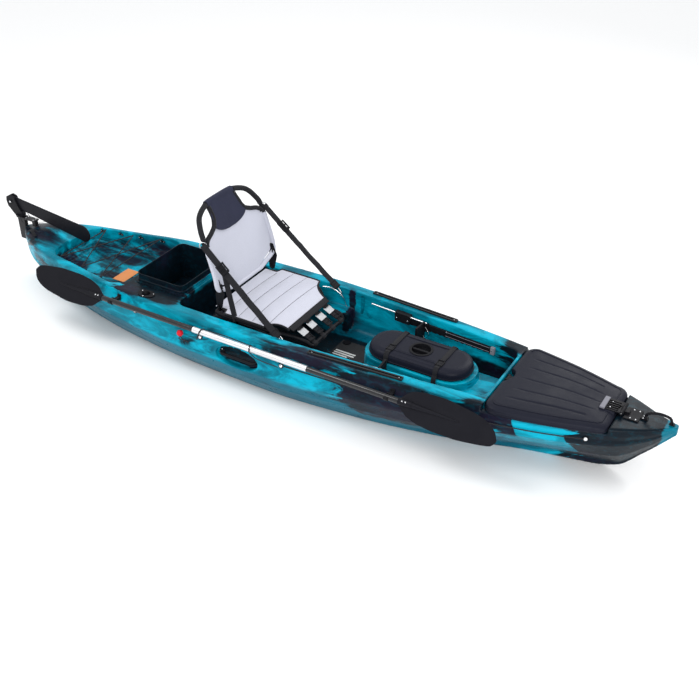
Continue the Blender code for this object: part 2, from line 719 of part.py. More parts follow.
def build_bow_hatch():
    base = HATCH_SHELF + SEAT_GAP
    top = base + HATCH_HEIGHT
    levels = [(top + HATCH_CROWN, 0.110), (top + 0.6 * HATCH_CROWN, 0.050), (top, 0.016),
              (top - 0.006, 0.004), (top - 0.014, 0), (base, 0)]
    lid = well(HATCH_AFT, HATCH_FORWARD, hatch_half, HATCH_CORNER, levels)
    inside = well(HATCH_AFT, HATCH_FORWARD, hatch_half, HATCH_CORNER,
                  [(z - HATCH_WALL, inset + HATCH_WALL) for z, inset in levels])
    notch = box((HATCH_AFT - 0.05, -NOTCH_HALF, base - 0.05), (HATCH_AFT + NOTCH_DEPTH, NOTCH_HALF, ABOVE))
    wide = box((HATCH_AFT - 0.05, -NOTCH_HALF - HATCH_WALL, base - 0.06),
               (HATCH_AFT + NOTCH_DEPTH + HATCH_WALL, NOTCH_HALF + HATCH_WALL, ABOVE))
    pin_x = HATCH_FORWARD + HINGE_BEHIND
    pin_z = top + HATCH_CROWN
    pad = box((pin_x - HINGE_LENGTH, -HINGE_WIDTH / 2, top - 0.002), (pin_x - 0.028, HINGE_WIDTH / 2, pin_z))
    cut(inside, wide)
    cut(lid, notch, inside)
    fuse(lid, pad)
    part(lid, "bow_hatch_lid", LID_GREY, 35, (pin_x, 0, pin_z))

    foot = COAMING_INSET + COAMING_WIDTH
    seal = well(HATCH_AFT, HATCH_FORWARD, hatch_half, HATCH_CORNER,
                [(HATCH_SHELF + COAMING_HEIGHT + SEAL_HEIGHT, COAMING_INSET),
                 (HATCH_SHELF + COAMING_HEIGHT + SEAT_GAP, COAMING_INSET)])
    cut(seal, well(HATCH_AFT, HATCH_FORWARD, hatch_half, HATCH_CORNER, [(ABOVE, foot), (0, foot)]))
    part(seal, "bow_hatch_seal", RUBBER)

    leaf_z = pin_z + SEAT_GAP
    knuckle = 2.2 * HINGE_PIN_RADIUS
    bore = rod((pin_x, -HINGE_WIDTH, pin_z), (pin_x, HINGE_WIDTH, pin_z), HINGE_PIN_RADIUS + RUN_GAP / 2)
    leaf = box((pin_x - HINGE_LENGTH + 0.004, -HINGE_WIDTH / 2 + 0.002, leaf_z),
               (pin_x, HINGE_WIDTH / 2 - 0.002, leaf_z + 0.004))
    ribs = []
    for i in range(HINGE_RIBS):
        y = (i - (HINGE_RIBS - 1) / 2) * HINGE_WIDTH / (HINGE_RIBS + 1)
        ribs.append(box((pin_x - HINGE_LENGTH + 0.012, y - 0.003, leaf_z + 0.002),
                        (pin_x - 0.020, y + 0.003, leaf_z + 0.007)))
    room = box((pin_x - knuckle - RUN_GAP, -HINGE_WIDTH / 6, 0), (BOW, HINGE_WIDTH / 6, ABOVE))
    barrel = rod((pin_x, -HINGE_WIDTH / 2 + 0.002, pin_z), (pin_x, HINGE_WIDTH / 2 - 0.002, pin_z), knuckle)
    fuse(leaf, *ribs, barrel)
    cut(leaf, room, bore)
    part(leaf, "bow_hatch_strap", BLACK, 35, (pin_x, 0, pin_z))

    deck = gunwale_height(pin_x + 0.08) + SEAT_GAP
    middle = HINGE_WIDTH / 6 - RUN_GAP
    base_plate = box((pin_x + 0.012, -HINGE_WIDTH / 2, deck), (pin_x + 0.080, HINGE_WIDTH / 2, deck + 0.006))
    web = box((pin_x - 0.004, -middle, deck + 0.002), (pin_x + 0.030, middle, pin_z))
    fuse(base_plate, web, rod((pin_x, -middle, pin_z), (pin_x, middle, pin_z), knuckle))
    cut(base_plate, rod((pin_x, -0.1, pin_z), (pin_x, 0.1, pin_z), HINGE_PIN_RADIUS + SEAT_GAP))
    part(base_plate, "bow_hatch_hinge", BLACK, 35)
    part(rod((pin_x, -HINGE_WIDTH / 2, pin_z), (pin_x, HINGE_WIDTH / 2, pin_z), HINGE_PIN_RADIUS),
         "bow_hatch_pin", STEEL, 35)

    pivot_x = HATCH_AFT + 0.006
    pivot_z = HATCH_SHELF + SEAT_GAP + 0.013
    half = LATCH_WIDTH / 2
    bracket = box((HATCH_AFT - 0.002, -half, HATCH_SHELF + SEAT_GAP),
                  (HATCH_AFT + 0.026, half, HATCH_SHELF + SEAT_GAP + 0.003))
    for side in (-1, 1):
        y = side * (half - 0.003)
        fuse(bracket, box((pivot_x - 0.007, y - 0.003, HATCH_SHELF + 0.002), (pivot_x + 0.008, y + 0.003, pivot_z + 0.007)))
    fuse(bracket, rod((pivot_x, -half + 0.001, pivot_z), (pivot_x, half - 0.001, pivot_z), 0.003))
    part(bracket, "bow_hatch_latch_base", BLACK, 35)
    inner = half - 0.006 - RUN_GAP
    lever = box((pivot_x, -inner, pivot_z - 0.004), (HATCH_AFT + NOTCH_DEPTH - 0.0025, inner, pivot_z + 0.0055))
    fuse(lever, rod((pivot_x, -inner, pivot_z), (pivot_x, inner, pivot_z), 0.0065))
    cut(lever, rod((pivot_x, -0.1, pivot_z), (pivot_x, 0.1, pivot_z), 0.003 + RUN_GAP / 2))
    part(lever, "bow_hatch_latch", BLACK, 35, (pivot_x, 0, pivot_z))


def build_handles():
    aft = BOW - 0.150
    front = BOW - 0.030
    low = gunwale_height(aft + 0.014) + SEAT_GAP + 0.0004
    arch = tube(curve_points([(aft, 0, low + 0.005), (aft + 0.012, 0, low + 0.034), (aft + 0.060, 0, low + 0.050),
                              (front - 0.012, 0, low + 0.044), (front, 0, gunwale_height(front + 0.012) + 0.007)], 3), 0.0065, 8)
    fuse(arch, box((aft - 0.016, -0.014, low), (aft + 0.014, 0.014, low + 0.007)),
         box((front - 0.012, -0.008, gunwale_height(front + 0.012) + SEAT_GAP),
             (front + 0.012, 0.008, gunwale_height(front + 0.012) + 0.007)))
    part(arch, "bow_handle", BLACK, 40)

    x0, x1 = STERN + 0.085, STERN + 0.185
    path = []
    for i in range(9):
        s = i / 8
        x = x0 + (x1 - x0) * s
        y = -(gunwale_half(x) - 0.030)
        path.append((x, y, gunwale_height(x) + deck_crown(x) * 0.6 + 0.0032 + 0.018 * math.sin(math.pi * s)))
    part(band(path, (0, 0.022, 0), 0.003), "stern_handle", WEBBING)

    wall = chine_half(GRIP_X) - GRIP_POCKET + SEAT_GAP
    reach = GRIP_LENGTH / 2 - 0.026
    for side, label in ((1, "port"), (-1, "starboard")):
        stand = wall + GRIP_STAND
        foot = [(reach, wall), (reach, wall + 0.005), (reach, wall + 0.0056), (reach - 0.003, stand - 0.007),
                (reach - 0.012, stand - 0.001), (reach - 0.030, stand)]
        path = [(GRIP_X - dx, side * y, GRIP_Z) for dx, y in foot]
        path += [(GRIP_X + dx, side * y, GRIP_Z) for dx, y in foot[::-1]]
        flange = [1.75, 1.75, 1.0, 1.0, 1.0, 1.0]
        grip = tube(path, GRIP_RADIUS, 8, False, flange + flange[::-1])
        part(grip, "side_grip_" + label, BLACK, 40)


def build_bin():
    seat = bin_seat() + SEAT_GAP
    floor = BIN_FLOOR
    tub = well(BIN_AFT, BIN_FORWARD, bin_half, 0.035,
               [(BIN_TOP, 0), (seat + 0.020, 0), (seat + 0.018, -0.004), (seat + 0.005, -0.004),
                (seat + 0.005, -BIN_LIP), (seat, -BIN_LIP), (seat, 0), (floor - BIN_WALL, 0.004)], 2)
    hollow = well(BIN_AFT, BIN_FORWARD, bin_half, 0.035,
                  [(ABOVE, BIN_WALL), (seat, BIN_WALL + 0.001), (floor, BIN_WALL + 0.005)], 2)
    ribs = []
    for i in range(BIN_RIBS):
        y = (i - (BIN_RIBS - 1) / 2) * 1.5 * BIN_HALF / BIN_RIBS
        ribs.append(box((BIN_FORWARD - 0.014, y - 0.006, floor - 0.001), (BIN_FORWARD - 0.002, y + 0.006, seat + 0.010)))
    cut(tub, hollow)
    fuse(tub, *ribs)
    part(tub, "rear_bin", TEAL, 35)


def build_console():
    flange = PEDESTAL_TOP + SEAT_GAP
    rim = flange + POD_FLANGE
    tub = well(CONSOLE_AFT, CONSOLE_FORWARD, console_half, CONSOLE_CORNER,
               [(rim, 0.002), (flange, 0.002), (flange, POD_INSET), (flange - POD_DEPTH, POD_INSET + 0.006)], 2)
    hollow = well(CONSOLE_AFT, CONSOLE_FORWARD, console_half, CONSOLE_CORNER,
                  [(ABOVE, POD_INSET + POD_WALL), (flange - POD_DEPTH + POD_WALL, POD_INSET + POD_WALL + 0.006)], 2)
    cut(tub, hollow)
    part(tub, "console_pod", BLACK, 35)

    base = rim + SEAT_GAP
    top = base + LID_RISE
    levels = [(top, 0.030), (top - 0.008, 0.010), (top - 0.020, 0.002), (base, 0)]
    lid = well(CONSOLE_AFT, CONSOLE_FORWARD, console_half, CONSOLE_CORNER, levels, 2)
    inside = well(CONSOLE_AFT, CONSOLE_FORWARD, console_half, CONSOLE_CORNER,
                  [(z - POD_WALL, inset + POD_WALL) for z, inset in levels], 2)
    hole = rod((CONSOLE_X, 0, base), (CONSOLE_X, 0, ABOVE), CAP_RADIUS + RUN_GAP, 32)
    cut(lid, inside, hole)
    part(lid, "console_lid", LID_GREY, 35)

    cap = rod((CONSOLE_X, 0, top + SEAT_GAP), (CONSOLE_X, 0, top + 0.0035), CAP_RADIUS + 0.008, 32)
    fuse(cap, rod((CONSOLE_X, 0, top - CAP_RECESS - 0.004), (CONSOLE_X, 0, top + 0.001), CAP_RADIUS, 32))
    cut(cap, rod((CONSOLE_X, 0, top - CAP_RECESS), (CONSOLE_X, 0, ABOVE), CAP_RADIUS - 0.004, 32))
    fuse(cap, box((CONSOLE_X - CAP_RADIUS + 0.002, -0.006, top - CAP_RECESS - 0.001),
                  (CONSOLE_X + CAP_RADIUS - 0.002, 0.006, top - 0.003)))
    part(cap, "console_cap", BLACK, 35, (CONSOLE_X, 0, top))

    off = SEAT_GAP + STRAP_THICKNESS / 2
    half = CONSOLE_HALF
    margin = PEDESTAL_MARGIN
    side = [(half + margin + 0.0025 + off, PEDESTAL_TOP - 0.037), (half + margin + 0.0008 + off, PEDESTAL_TOP + 0.002),
            (half + 0.0006 + off, top - 0.019), (half - 0.0085 + off, top - 0.0065 + off), (half - 0.030, top + off)]
    for label, x in (("aft", CONSOLE_X - STRAP_SPACING / 2), ("forward", CONSOLE_X + STRAP_SPACING / 2)):
        path = [(x, -y, z) for y, z in side] + [(x, y, z) for y, z in side[::-1]]
        part(band(path, (STRAP_WIDTH, 0, 0), STRAP_THICKNESS), "console_strap_" + label, WEBBING)


def build_tracks():
    half, height, slot = TRACK_WIDTH / 2, TRACK_HEIGHT, TRACK_SLOT / 2
    channel = slot + 0.0035
    section = [(-half, 0), (half, 0), (half, height), (slot, height), (slot, height - 0.003), (channel, height - 0.003),
               (channel, 0.003), (-channel, 0.003), (-channel, height - 0.003), (-slot, height - 0.003),
               (-slot, height), (-half, height)]
    for side, label in ((1, "port"), (-1, "starboard")):
        start, end = track_ends(side)
        length = (end - start).length
        lay = Matrix(((0, 0, 1), (1, 0, 0), (0, 1, 0))).to_4x4()
        track = plate(section, 0.003, length - 0.003, lay)
        fuse(track, box((0, -half, 0), (0.006, half, height)), box((length - 0.006, -half, 0), (length, half, height)))
        track = as_mesh(track)
        track.data.transform(along(start + Vector((0, 0, SEAT_GAP)), end + Vector((0, 0, SEAT_GAP))))
        part(track, "gear_track_" + label, DARK_METAL)


def brace_line(side):
    """Ends of a foot brace rail's outer face, just off the cockpit wall."""
    ends = []
    for x in (BRACE_AFT, BRACE_AFT + BRACE_LENGTH):
        ends.append(Vector((x, side * (rim_half(x) - 0.0065), BRACE_HEIGHT)))
    return ends


def build_foot_braces():
    for side, label in ((1, "port"), (-1, "starboard")):
        start, end = brace_line(side)
        run = along(start, end)
        length = (end - start).length
        inward = -side
        slide = length * PEDAL_ALONG

        def block(x0, x1, y0, y1, z0, z1, bevel=0.0):
            low, high = sorted((inward * y0, inward * y1))
            return box((x0, low, z0), (x1, high, z1), bevel)

        deep = RAIL_DEPTH / 2 + 0.005
        rod_y = 0.004 + RAIL_WIDTH + 0.003
        rod_z = deep + PEDAL_ROD_RADIUS + RUN_GAP
        guide_x = slide - GUIDE_BEHIND
        rail = block(guide_x - GUIDE_HALF, length, 0.004, 0.004 + RAIL_WIDTH, -RAIL_DEPTH / 2, RAIL_DEPTH / 2)
        fuse(rail, block(guide_x - GUIDE_HALF, guide_x + GUIDE_HALF, 0.001, rod_y + 0.010,
                         -RAIL_DEPTH / 2 + 0.002, rod_z + PEDAL_ROD_RADIUS + 0.005),
             block(length - 0.020, length, 0.001, 0.008, -RAIL_DEPTH / 2, RAIL_DEPTH / 2))
        pitch = (length - slide + 0.05) / RAIL_TEETH
        notches = [block(slide - 0.060 + pitch * i, slide - 0.060 + pitch * (i + 0.45), -0.01, 0.03,
                         -RAIL_DEPTH, -RAIL_DEPTH / 2 + 0.004) for i in range(RAIL_TEETH)]
        cut(rail, join(*notches))
        cut(rail, rod((guide_x - 2 * GUIDE_HALF, inward * rod_y, rod_z),
                      (guide_x + 2 * GUIDE_HALF, inward * rod_y, rod_z), PEDAL_ROD_RADIUS + RUN_GAP, 12))
        rail = as_mesh(rail)
        rail.data.transform(run)
        part(rail, "foot_rail_" + label, BLACK)

        carriage = block(slide - 0.022, slide + 0.022, 0.006, 0.004 + RAIL_WIDTH + 0.006, -deep, deep)
        cut(carriage, block(slide - 0.05, slide + 0.05, -0.02, 0.004 + RAIL_WIDTH + RUN_GAP,
                            -RAIL_DEPTH / 2 - RUN_GAP, RAIL_DEPTH / 2 + RUN_GAP))
        foot = block(slide - PEDAL_THICKNESS / 2, slide + PEDAL_THICKNESS / 2, 0.004 + RAIL_WIDTH + 0.003,
                     0.004 + RAIL_WIDTH + PEDAL_WIDTH, -0.6 * PEDAL_HEIGHT, 0.25 * PEDAL_HEIGHT)
        ribs = [block(slide - PEDAL_THICKNESS / 2 - 0.003, slide, 0.024 + 0.016 * i, 0.030 + 0.016 * i,
                      -0.55 * PEDAL_HEIGHT, 0.2 * PEDAL_HEIGHT) for i in range(4)]
        fuse(carriage, foot, *ribs)
        cut(carriage, rod((slide - 0.05, inward * rod_y, rod_z), (slide + 0.05, inward * rod_y, rod_z),
                          PEDAL_ROD_RADIUS + SEAT_GAP, 12))
        shank = rod((slide - PEDAL_ROD_LENGTH, inward * rod_y, rod_z),
                    (slide + 0.015, inward * rod_y, rod_z), PEDAL_ROD_RADIUS, 12)
        for shape, name, mat, angle in ((carriage, "foot_pedal_", BLACK, None), (shank, "foot_rod_", ALUMINIUM, 35)):
            shape = as_mesh(shape)
            shape.data.transform(run)
            part(shape, name + label, mat, angle, run @ Vector((slide, 0, 0)))


def build_rod_holders():
    for side, label in ((1, "port"), (-1, "starboard")):
        top, down = rod_axis(side)
        deck = gunwale_height(ROD_X + 0.055) + SEAT_GAP
        flange = rod((ROD_X, side * ROD_Y, deck), (ROD_X, side * ROD_Y, deck + 0.004), 1, 32)
        for vertex in flange.data.vertices:
            vertex.co.x = ROD_X + (vertex.co.x - ROD_X) * 0.052
            vertex.co.y = side * ROD_Y + (vertex.co.y - side * ROD_Y) * 0.034
        body = rod(top - 0.03 * down, top + ROD_DEPTH * down, ROD_RADIUS + ROD_WALL, 24)
        cut(body, box((ROD_X - 0.2, -HULL_BEAM, deck + 0.002), (ROD_X + 0.2, HULL_BEAM, ABOVE)))
        fuse(flange, body)
        cut(flange, rod(top - 0.05 * down, top + (ROD_DEPTH - ROD_WALL) * down, ROD_RADIUS, 24))
        part(flange, "rod_holder_" + label, BLACK, 35)
    for x, y, floor in scupper_places()[:2]:
        plug = rod((x, y, floor + SEAT_GAP), (x, y, floor + 0.005), SCUPPER_RADIUS + 0.005, 20)
        fuse(plug, rod((x, y, floor - 0.030), (x, y, floor + 0.002), SCUPPER_RADIUS - 0.0015, 20,
                       SCUPPER_RADIUS - SEAT_GAP))
        part(plug, "scupper_plug_" + ("port" if y > 0 else "starboard"), BLACK, 35)


def back_x(z):
    """Middle plane of the seat back: upright below, curving aft towards its top."""
    s = (z - BACK_BOTTOM) / (BACK_TOP - BACK_BOTTOM)
    return BACK_X - 0.375 * BACK_LEAN * s - 0.625 * BACK_LEAN * s ** 3


def loop_points():
    """Centre line of the back's tube loop, from the bottom centre round to port and back."""
    right = [(BACK_BOTTOM_HALF, BACK_BOTTOM), (BACK_HALF - 0.030, BACK_BOTTOM + 0.031), (BACK_HALF, BACK_BOTTOM + 0.052),
             (BACK_HALF + 0.001, BACK_BOTTOM + 0.130), (BACK_RING_HALF, BACK_RING_HEIGHT),
             (BACK_RING_HALF - 0.036, BACK_TOP - 0.050), (BACK_TOP_HALF + 0.020, BACK_TOP - 0.004), (BACK_TOP_HALF, BACK_TOP)]
    knots = [(back_x(z), y, z) for y, z in right]
    side = curve_points(knots, 2)
    return side + [Vector((p.x, -p.y, p.z)) for p in side[::-1]]


def back_edge(z):
    """Half breadth of the mesh panel, just inside the tube, narrowing to the headrest's neck."""
    clear = FRAME_RADIUS + SEAT_GAP
    knots = (BACK_BOTTOM + 0.0115, BACK_BOTTOM + 0.035, BACK_BOTTOM + 0.062, BACK_BOTTOM + 0.150, BACK_RING_HEIGHT - 0.020,
             BACK_RING_HEIGHT, BACK_RING_HEIGHT + 0.015, BACK_NECK_HEIGHT, BACK_TOP - 0.060, BACK_TOP - 0.014)
    halves = (BACK_BOTTOM_HALF - 0.010, BACK_HALF - 0.074, BACK_HALF - clear - 0.002, BACK_HALF - clear - 0.001,
              BACK_RING_HALF - clear, BACK_RING_HALF - clear - 0.022, BACK_NECK_HALF + 0.040, BACK_NECK_HALF,
              BACK_TOP_HALF + 0.002, BACK_TOP_HALF - 0.002)
    return smooth(tuple((k - knots[0]) / (knots[-1] - knots[0]) for k in knots), halves,
                  (z - knots[0]) / (knots[-1] - knots[0]))


def cloth(heights, half, thickness, lift):
    """A thin dished panel: one closed ring of points per height, front face then back face."""
    rings = []
    for z in heights:
        s = (z - BACK_BOTTOM) / (BACK_TOP - BACK_BOTTOM)
        dish = BACK_DISH * math.sin(math.pi * min(1, max(0, s))) ** 2
        front, back = [], []
        for i in range(7):
            u = -1 + i / 3
            y = half(z) * u
            x = back_x(z) - dish * (1 - min(1, abs(y) / BACK_HALF) ** 2) + lift
            swell = thickness * (0.5 if abs(u) == 1 else 1)
            front.append((x + swell / 2, y, z))
            back.append((x - swell / 2, y, z))
        rings.append(front + back[::-1])
    return skin(rings)


def pan_half(x):
    """Half breadth of the seat pan: narrow between the hinges, full, then rounded in to its nose."""
    if x < BACK_HINGE_X + 0.045:
        return BACK_ARM_Y - 0.012
    if x <= SEAT_SHOULDER:
        return PAN_HALF
    s = (x - SEAT_SHOULDER) / (SEAT_NOSE - SEAT_SHOULDER)
    return PAN_HALF - (PAN_HALF - PAN_NOSE_HALF) * math.sin(0.5 * math.pi * s) ** 2


def pan_top(x):
    s = (x - SEAT_REAR) / (SEAT_NOSE - SEAT_REAR)
    return PAN_TOP - (PAN_TOP - PAN_NOSE_TOP) * max(0, (s - 0.72) / 0.28) ** 1.5


def build_seat():
    ledge = LEDGE_TOP + SEAT_GAP
    rail_y = PAN_HALF - 0.014
    bar_z = COCKPIT_FLOOR + SEAT_BAR_HEIGHT
    tube_z = PAN_TOP - PAN_THICKNESS - FRAME_RADIUS - SEAT_GAP
    nose_z = PAN_NOSE_TOP - PAN_THICKNESS - FRAME_RADIUS - SEAT_GAP
    knots = [(SEAT_REAR + 0.020, 0.10, tube_z - 0.012), (SEAT_REAR + 0.020, rail_y - 0.040, tube_z),
             (SEAT_REAR + 0.050, rail_y, tube_z), (SEAT_SHOULDER - 0.060, rail_y, tube_z),
             (SEAT_SHOULDER + 0.020, rail_y - 0.020, tube_z - 0.022), (SEAT_NOSE, PAN_NOSE_HALF - 0.010, nose_z - 0.020),
             (SEAT_BAR_X - 0.031, PAN_NOSE_HALF - 0.016, bar_z + 0.022), (SEAT_BAR_X, PAN_NOSE_HALF - 0.030, bar_z),
             (SEAT_BAR_X, 0.080, bar_z)]
    half_loop = curve_points(knots, 2)
    frame = tube(half_loop + [Vector((p.x, -p.y, p.z)) for p in half_loop[::-1]], FRAME_RADIUS, 8, True)
    plate_y = BACK_ARM_Y + RUN_GAP + 0.003
    for side in (1, -1):
        outline = [(SEAT_REAR - 0.030, ledge), (SEAT_SHOULDER + 0.010, ledge), (SEAT_SHOULDER + 0.010, ledge + 0.016),
                   (SEAT_SHOULDER - 0.040, ledge + 0.090), (BACK_HINGE_X + 0.030, ledge + 0.096),
                   (BACK_HINGE_X + 0.016, BACK_HINGE_Z + 0.010), (BACK_HINGE_X, BACK_HINGE_Z + 0.017),
                   (BACK_HINGE_X - 0.016, BACK_HINGE_Z + 0.010), (SEAT_REAR - 0.030, ledge + 0.070)]
        window = [(SEAT_REAR + 0.010, ledge + 0.020), (SEAT_SHOULDER - 0.045, ledge + 0.020),
                  (SEAT_SHOULDER - 0.065, ledge + 0.072), (SEAT_REAR + 0.030, ledge + 0.072)]
        upright = Matrix(((1, 0, 0), (0, 0, 1), (0, 1, 0))).to_4x4()
        low, high = sorted((side * plate_y, side * (plate_y + 0.006)))
        cheek = plate(outline, low, high, upright)
        cut(cheek, plate(window, low - 0.01, high + 0.01, upright))
        low, high = sorted((side * (plate_y - 0.012), side * (plate_y + 0.012)))
        fuse(frame, cheek, box((SEAT_REAR - 0.030, low, ledge), (SEAT_SHOULDER + 0.010, high, ledge + 0.005)),
             rod((BACK_HINGE_X, side * (BACK_ARM_Y - 0.010), BACK_HINGE_Z),
                 (BACK_HINGE_X, side * (plate_y + 0.010), BACK_HINGE_Z), 0.005),
             rod((BACK_HINGE_X, side * (BACK_ARM_Y - 0.014), BACK_HINGE_Z),
                 (BACK_HINGE_X, side * (BACK_ARM_Y - 0.0078), BACK_HINGE_Z), 0.009))
    part(frame, "seat_base_frame", BLACK, 40)

    rings = []
    count = 21
    for i in range(count):
        x = SEAT_REAR + (SEAT_NOSE - SEAT_REAR) * i / (count - 1)
        swell = 0.006 * abs(math.sin(math.pi * 5 * i / (count - 1)))
        end = 0.5 if i in (0, count - 1) else 1
        upper, lower = [], []
        for j in range(7):
            u = -1 + j / 3
            sag = 0.012 * (1 - u * u) * math.sin(math.pi * i / (count - 1))
            half = 0.5 * PAN_THICKNESS * end * (0.4 if abs(u) == 1 else 1)
            middle = pan_top(x) - 0.5 * PAN_THICKNESS - sag
            lower.append((x, pan_half(x) * u, middle - half))
            upper.append((x, pan_half(x) * u, middle + half + swell * (1 - u ** 4)))
        rings.append(lower + upper[::-1])
    part(skin(rings), "seat_pan", MESH_GREY, 50)

    strip = box((SEAT_NOSE + SEAT_GAP, -0.150, PAN_NOSE_TOP - 0.013), (SEAT_NOSE + 0.010, 0.150, PAN_NOSE_TOP - 0.008))
    for y in (-0.125, -0.045, 0.045, 0.125):
        reach = FRAME_RADIUS + SEAT_GAP + 0.001
        fuse(strip, band([(SEAT_NOSE + 0.006, y, PAN_NOSE_TOP - 0.0105), (SEAT_BAR_X - 0.6 * reach, y, bar_z + 0.95 * reach),
                          (SEAT_BAR_X + 0.5 * reach, y, bar_z + 1.05 * reach)], (0, 0.022, 0), 0.0016),
             box((SEAT_NOSE + 0.030, y - 0.014, PAN_NOSE_TOP - 0.040), (SEAT_NOSE + 0.058, y + 0.014, PAN_NOSE_TOP - 0.024)))
    part(strip, "seat_lacing", WEBBING)

    hinge = (BACK_HINGE_X, 0, BACK_HINGE_Z)
    arm_x = back_x(BACK_BOTTOM + 0.073)
    bridge_x = back_x(BACK_BOTTOM + 0.063)
    loop = tube(loop_points(), FRAME_RADIUS, 8, True)
    for side in (1, -1):
        low, high = sorted((side * (BACK_ARM_Y - 0.007), side * (BACK_ARM_Y - 0.0015)))
        upright = Matrix(((1, 0, 0), (0, 0, 1), (0, 1, 0))).to_4x4()
        outline = [(BACK_HINGE_X - 0.016, BACK_HINGE_Z - 0.010), (BACK_HINGE_X, BACK_HINGE_Z - 0.018),
                   (BACK_HINGE_X + 0.016, BACK_HINGE_Z - 0.010), (back_x(BACK_BOTTOM) + 0.022, BACK_BOTTOM + 0.020),
                   (arm_x + 0.008, BACK_BOTTOM + 0.085), (arm_x - 0.010, BACK_BOTTOM + 0.085),
                   (BACK_HINGE_X - 0.018, BACK_BOTTOM)]
        arm = plate(outline, low, high, upright)
        low, high = sorted((side * (BACK_ARM_Y - 0.0065), side * (BACK_HALF - 0.001)))
        bridge = box((bridge_x - 0.0062, low, BACK_BOTTOM + 0.060), (bridge_x + 0.0064, high, BACK_BOTTOM + 0.0815))
        ring_z = BACK_RING_HEIGHT
        peg = rod((back_x(ring_z), side * BACK_RING_HALF, ring_z),
                  (back_x(ring_z), side * (BACK_HALF + FRAME_RADIUS + 0.0026), ring_z), 0.006)
        fuse(loop, arm, bridge, peg)
    cut(loop, rod((BACK_HINGE_X, -1, BACK_HINGE_Z), (BACK_HINGE_X, 1, BACK_HINGE_Z), 0.005 + RUN_GAP / 2))
    part(loop, "seat_back_frame", BLACK, 40, hinge)
    low, high = BACK_BOTTOM + 0.0115, BACK_TOP - 0.014
    heights = [low + (high - low) * i / 15 for i in range(16)]

    def panel_half(z):
        beside_lugs = BACK_BOTTOM + 0.013 < z < BACK_BOTTOM + 0.093
        return back_edge(z) - (BACK_LUG if beside_lugs else 0)

    panel = cloth(heights, panel_half, BACK_CLOTH, 0)
    part(panel, "seat_back_panel", MESH_GREY, 50, hinge)

    bottom = BACK_NECK_HEIGHT - 0.052
    heights = [bottom + (high - 0.003 - bottom) * (i / 9) ** 1.4 for i in range(10)]

    def headrest_half(z):
        if z < BACK_NECK_HEIGHT:
            return max(0.012, (BACK_NECK_HALF + 0.002) * math.sqrt(1 - ((BACK_NECK_HEIGHT - z) / 0.0525) ** 2))
        s = (z - BACK_NECK_HEIGHT) / (BACK_TOP - BACK_NECK_HEIGHT)
        return BACK_NECK_HALF + 0.002 - (BACK_NECK_HALF - BACK_TOP_HALF) * s

    lift = BACK_CLOTH / 2 + 2 * SEAT_GAP + HEADREST_CLOTH / 2
    part(cloth(heights, headrest_half, HEADREST_CLOTH, lift), "seat_headrest", NAVY, 50, hinge)

    for side, label in ((1, "port"), (-1, "starboard")):
        ring_z = BACK_RING_HEIGHT
        ring = Vector((back_x(ring_z) + 0.002, side * (BACK_HALF + FRAME_RADIUS + 0.0042), ring_z))
        end = Vector((0.052, side * (rim_half(0.05) - 0.014), gunwale_height(0.05) - 0.008))
        along_strap = (end - ring).normalized()
        wide = Vector((0, 0, 1)).cross(along_strap).cross(along_strap).normalized() * 0.020
        points = [ring + (end - ring) * (i / 8) for i in range(9)]
        part(band(points, wide, 0.0016), "seat_strap_" + label, WEBBING)
        place = along(ring + (end - ring) * 0.42, end)
        buckle = box((-0.022, -0.006, -0.015), (0.022, 0.006, 0.015), 0.002)
        cut(buckle, box((-0.05, -0.0012, -0.011), (0.05, 0.0012, 0.011)))
        buckle = as_mesh(buckle)
        buckle.data.transform(place)
        part(buckle, "seat_buckle_" + label, BLACK)
        hook = tube([end + along_strap * d + Vector((0, 0, h)) for d, h in
                     ((0.0004, 0), (0.016, 0), (0.026, -0.004), (0.030, -0.012), (0.024, -0.018), (0.016, -0.016))], 0.0028, 8)
        part(hook, "seat_hook_" + label, STEEL, 50)


def blade_outline(root):
    """A paddle blade seen flat on, along +X from its root, with its long side towards -Y."""
    outline = []
    for way, side in ((1, BLADE_SHORT_SIDE), (-1, BLADE_LONG_SIDE)):
        edge = []
        for i in range(BLADE_SAMPLES):
            s = i / (BLADE_SAMPLES - 1)
            edge.append((root + BLADE_LENGTH * s, way * BLADE_WIDTH * smooth(BLADE_STATIONS, side, s)))
        outline += edge[::way]
    return outline


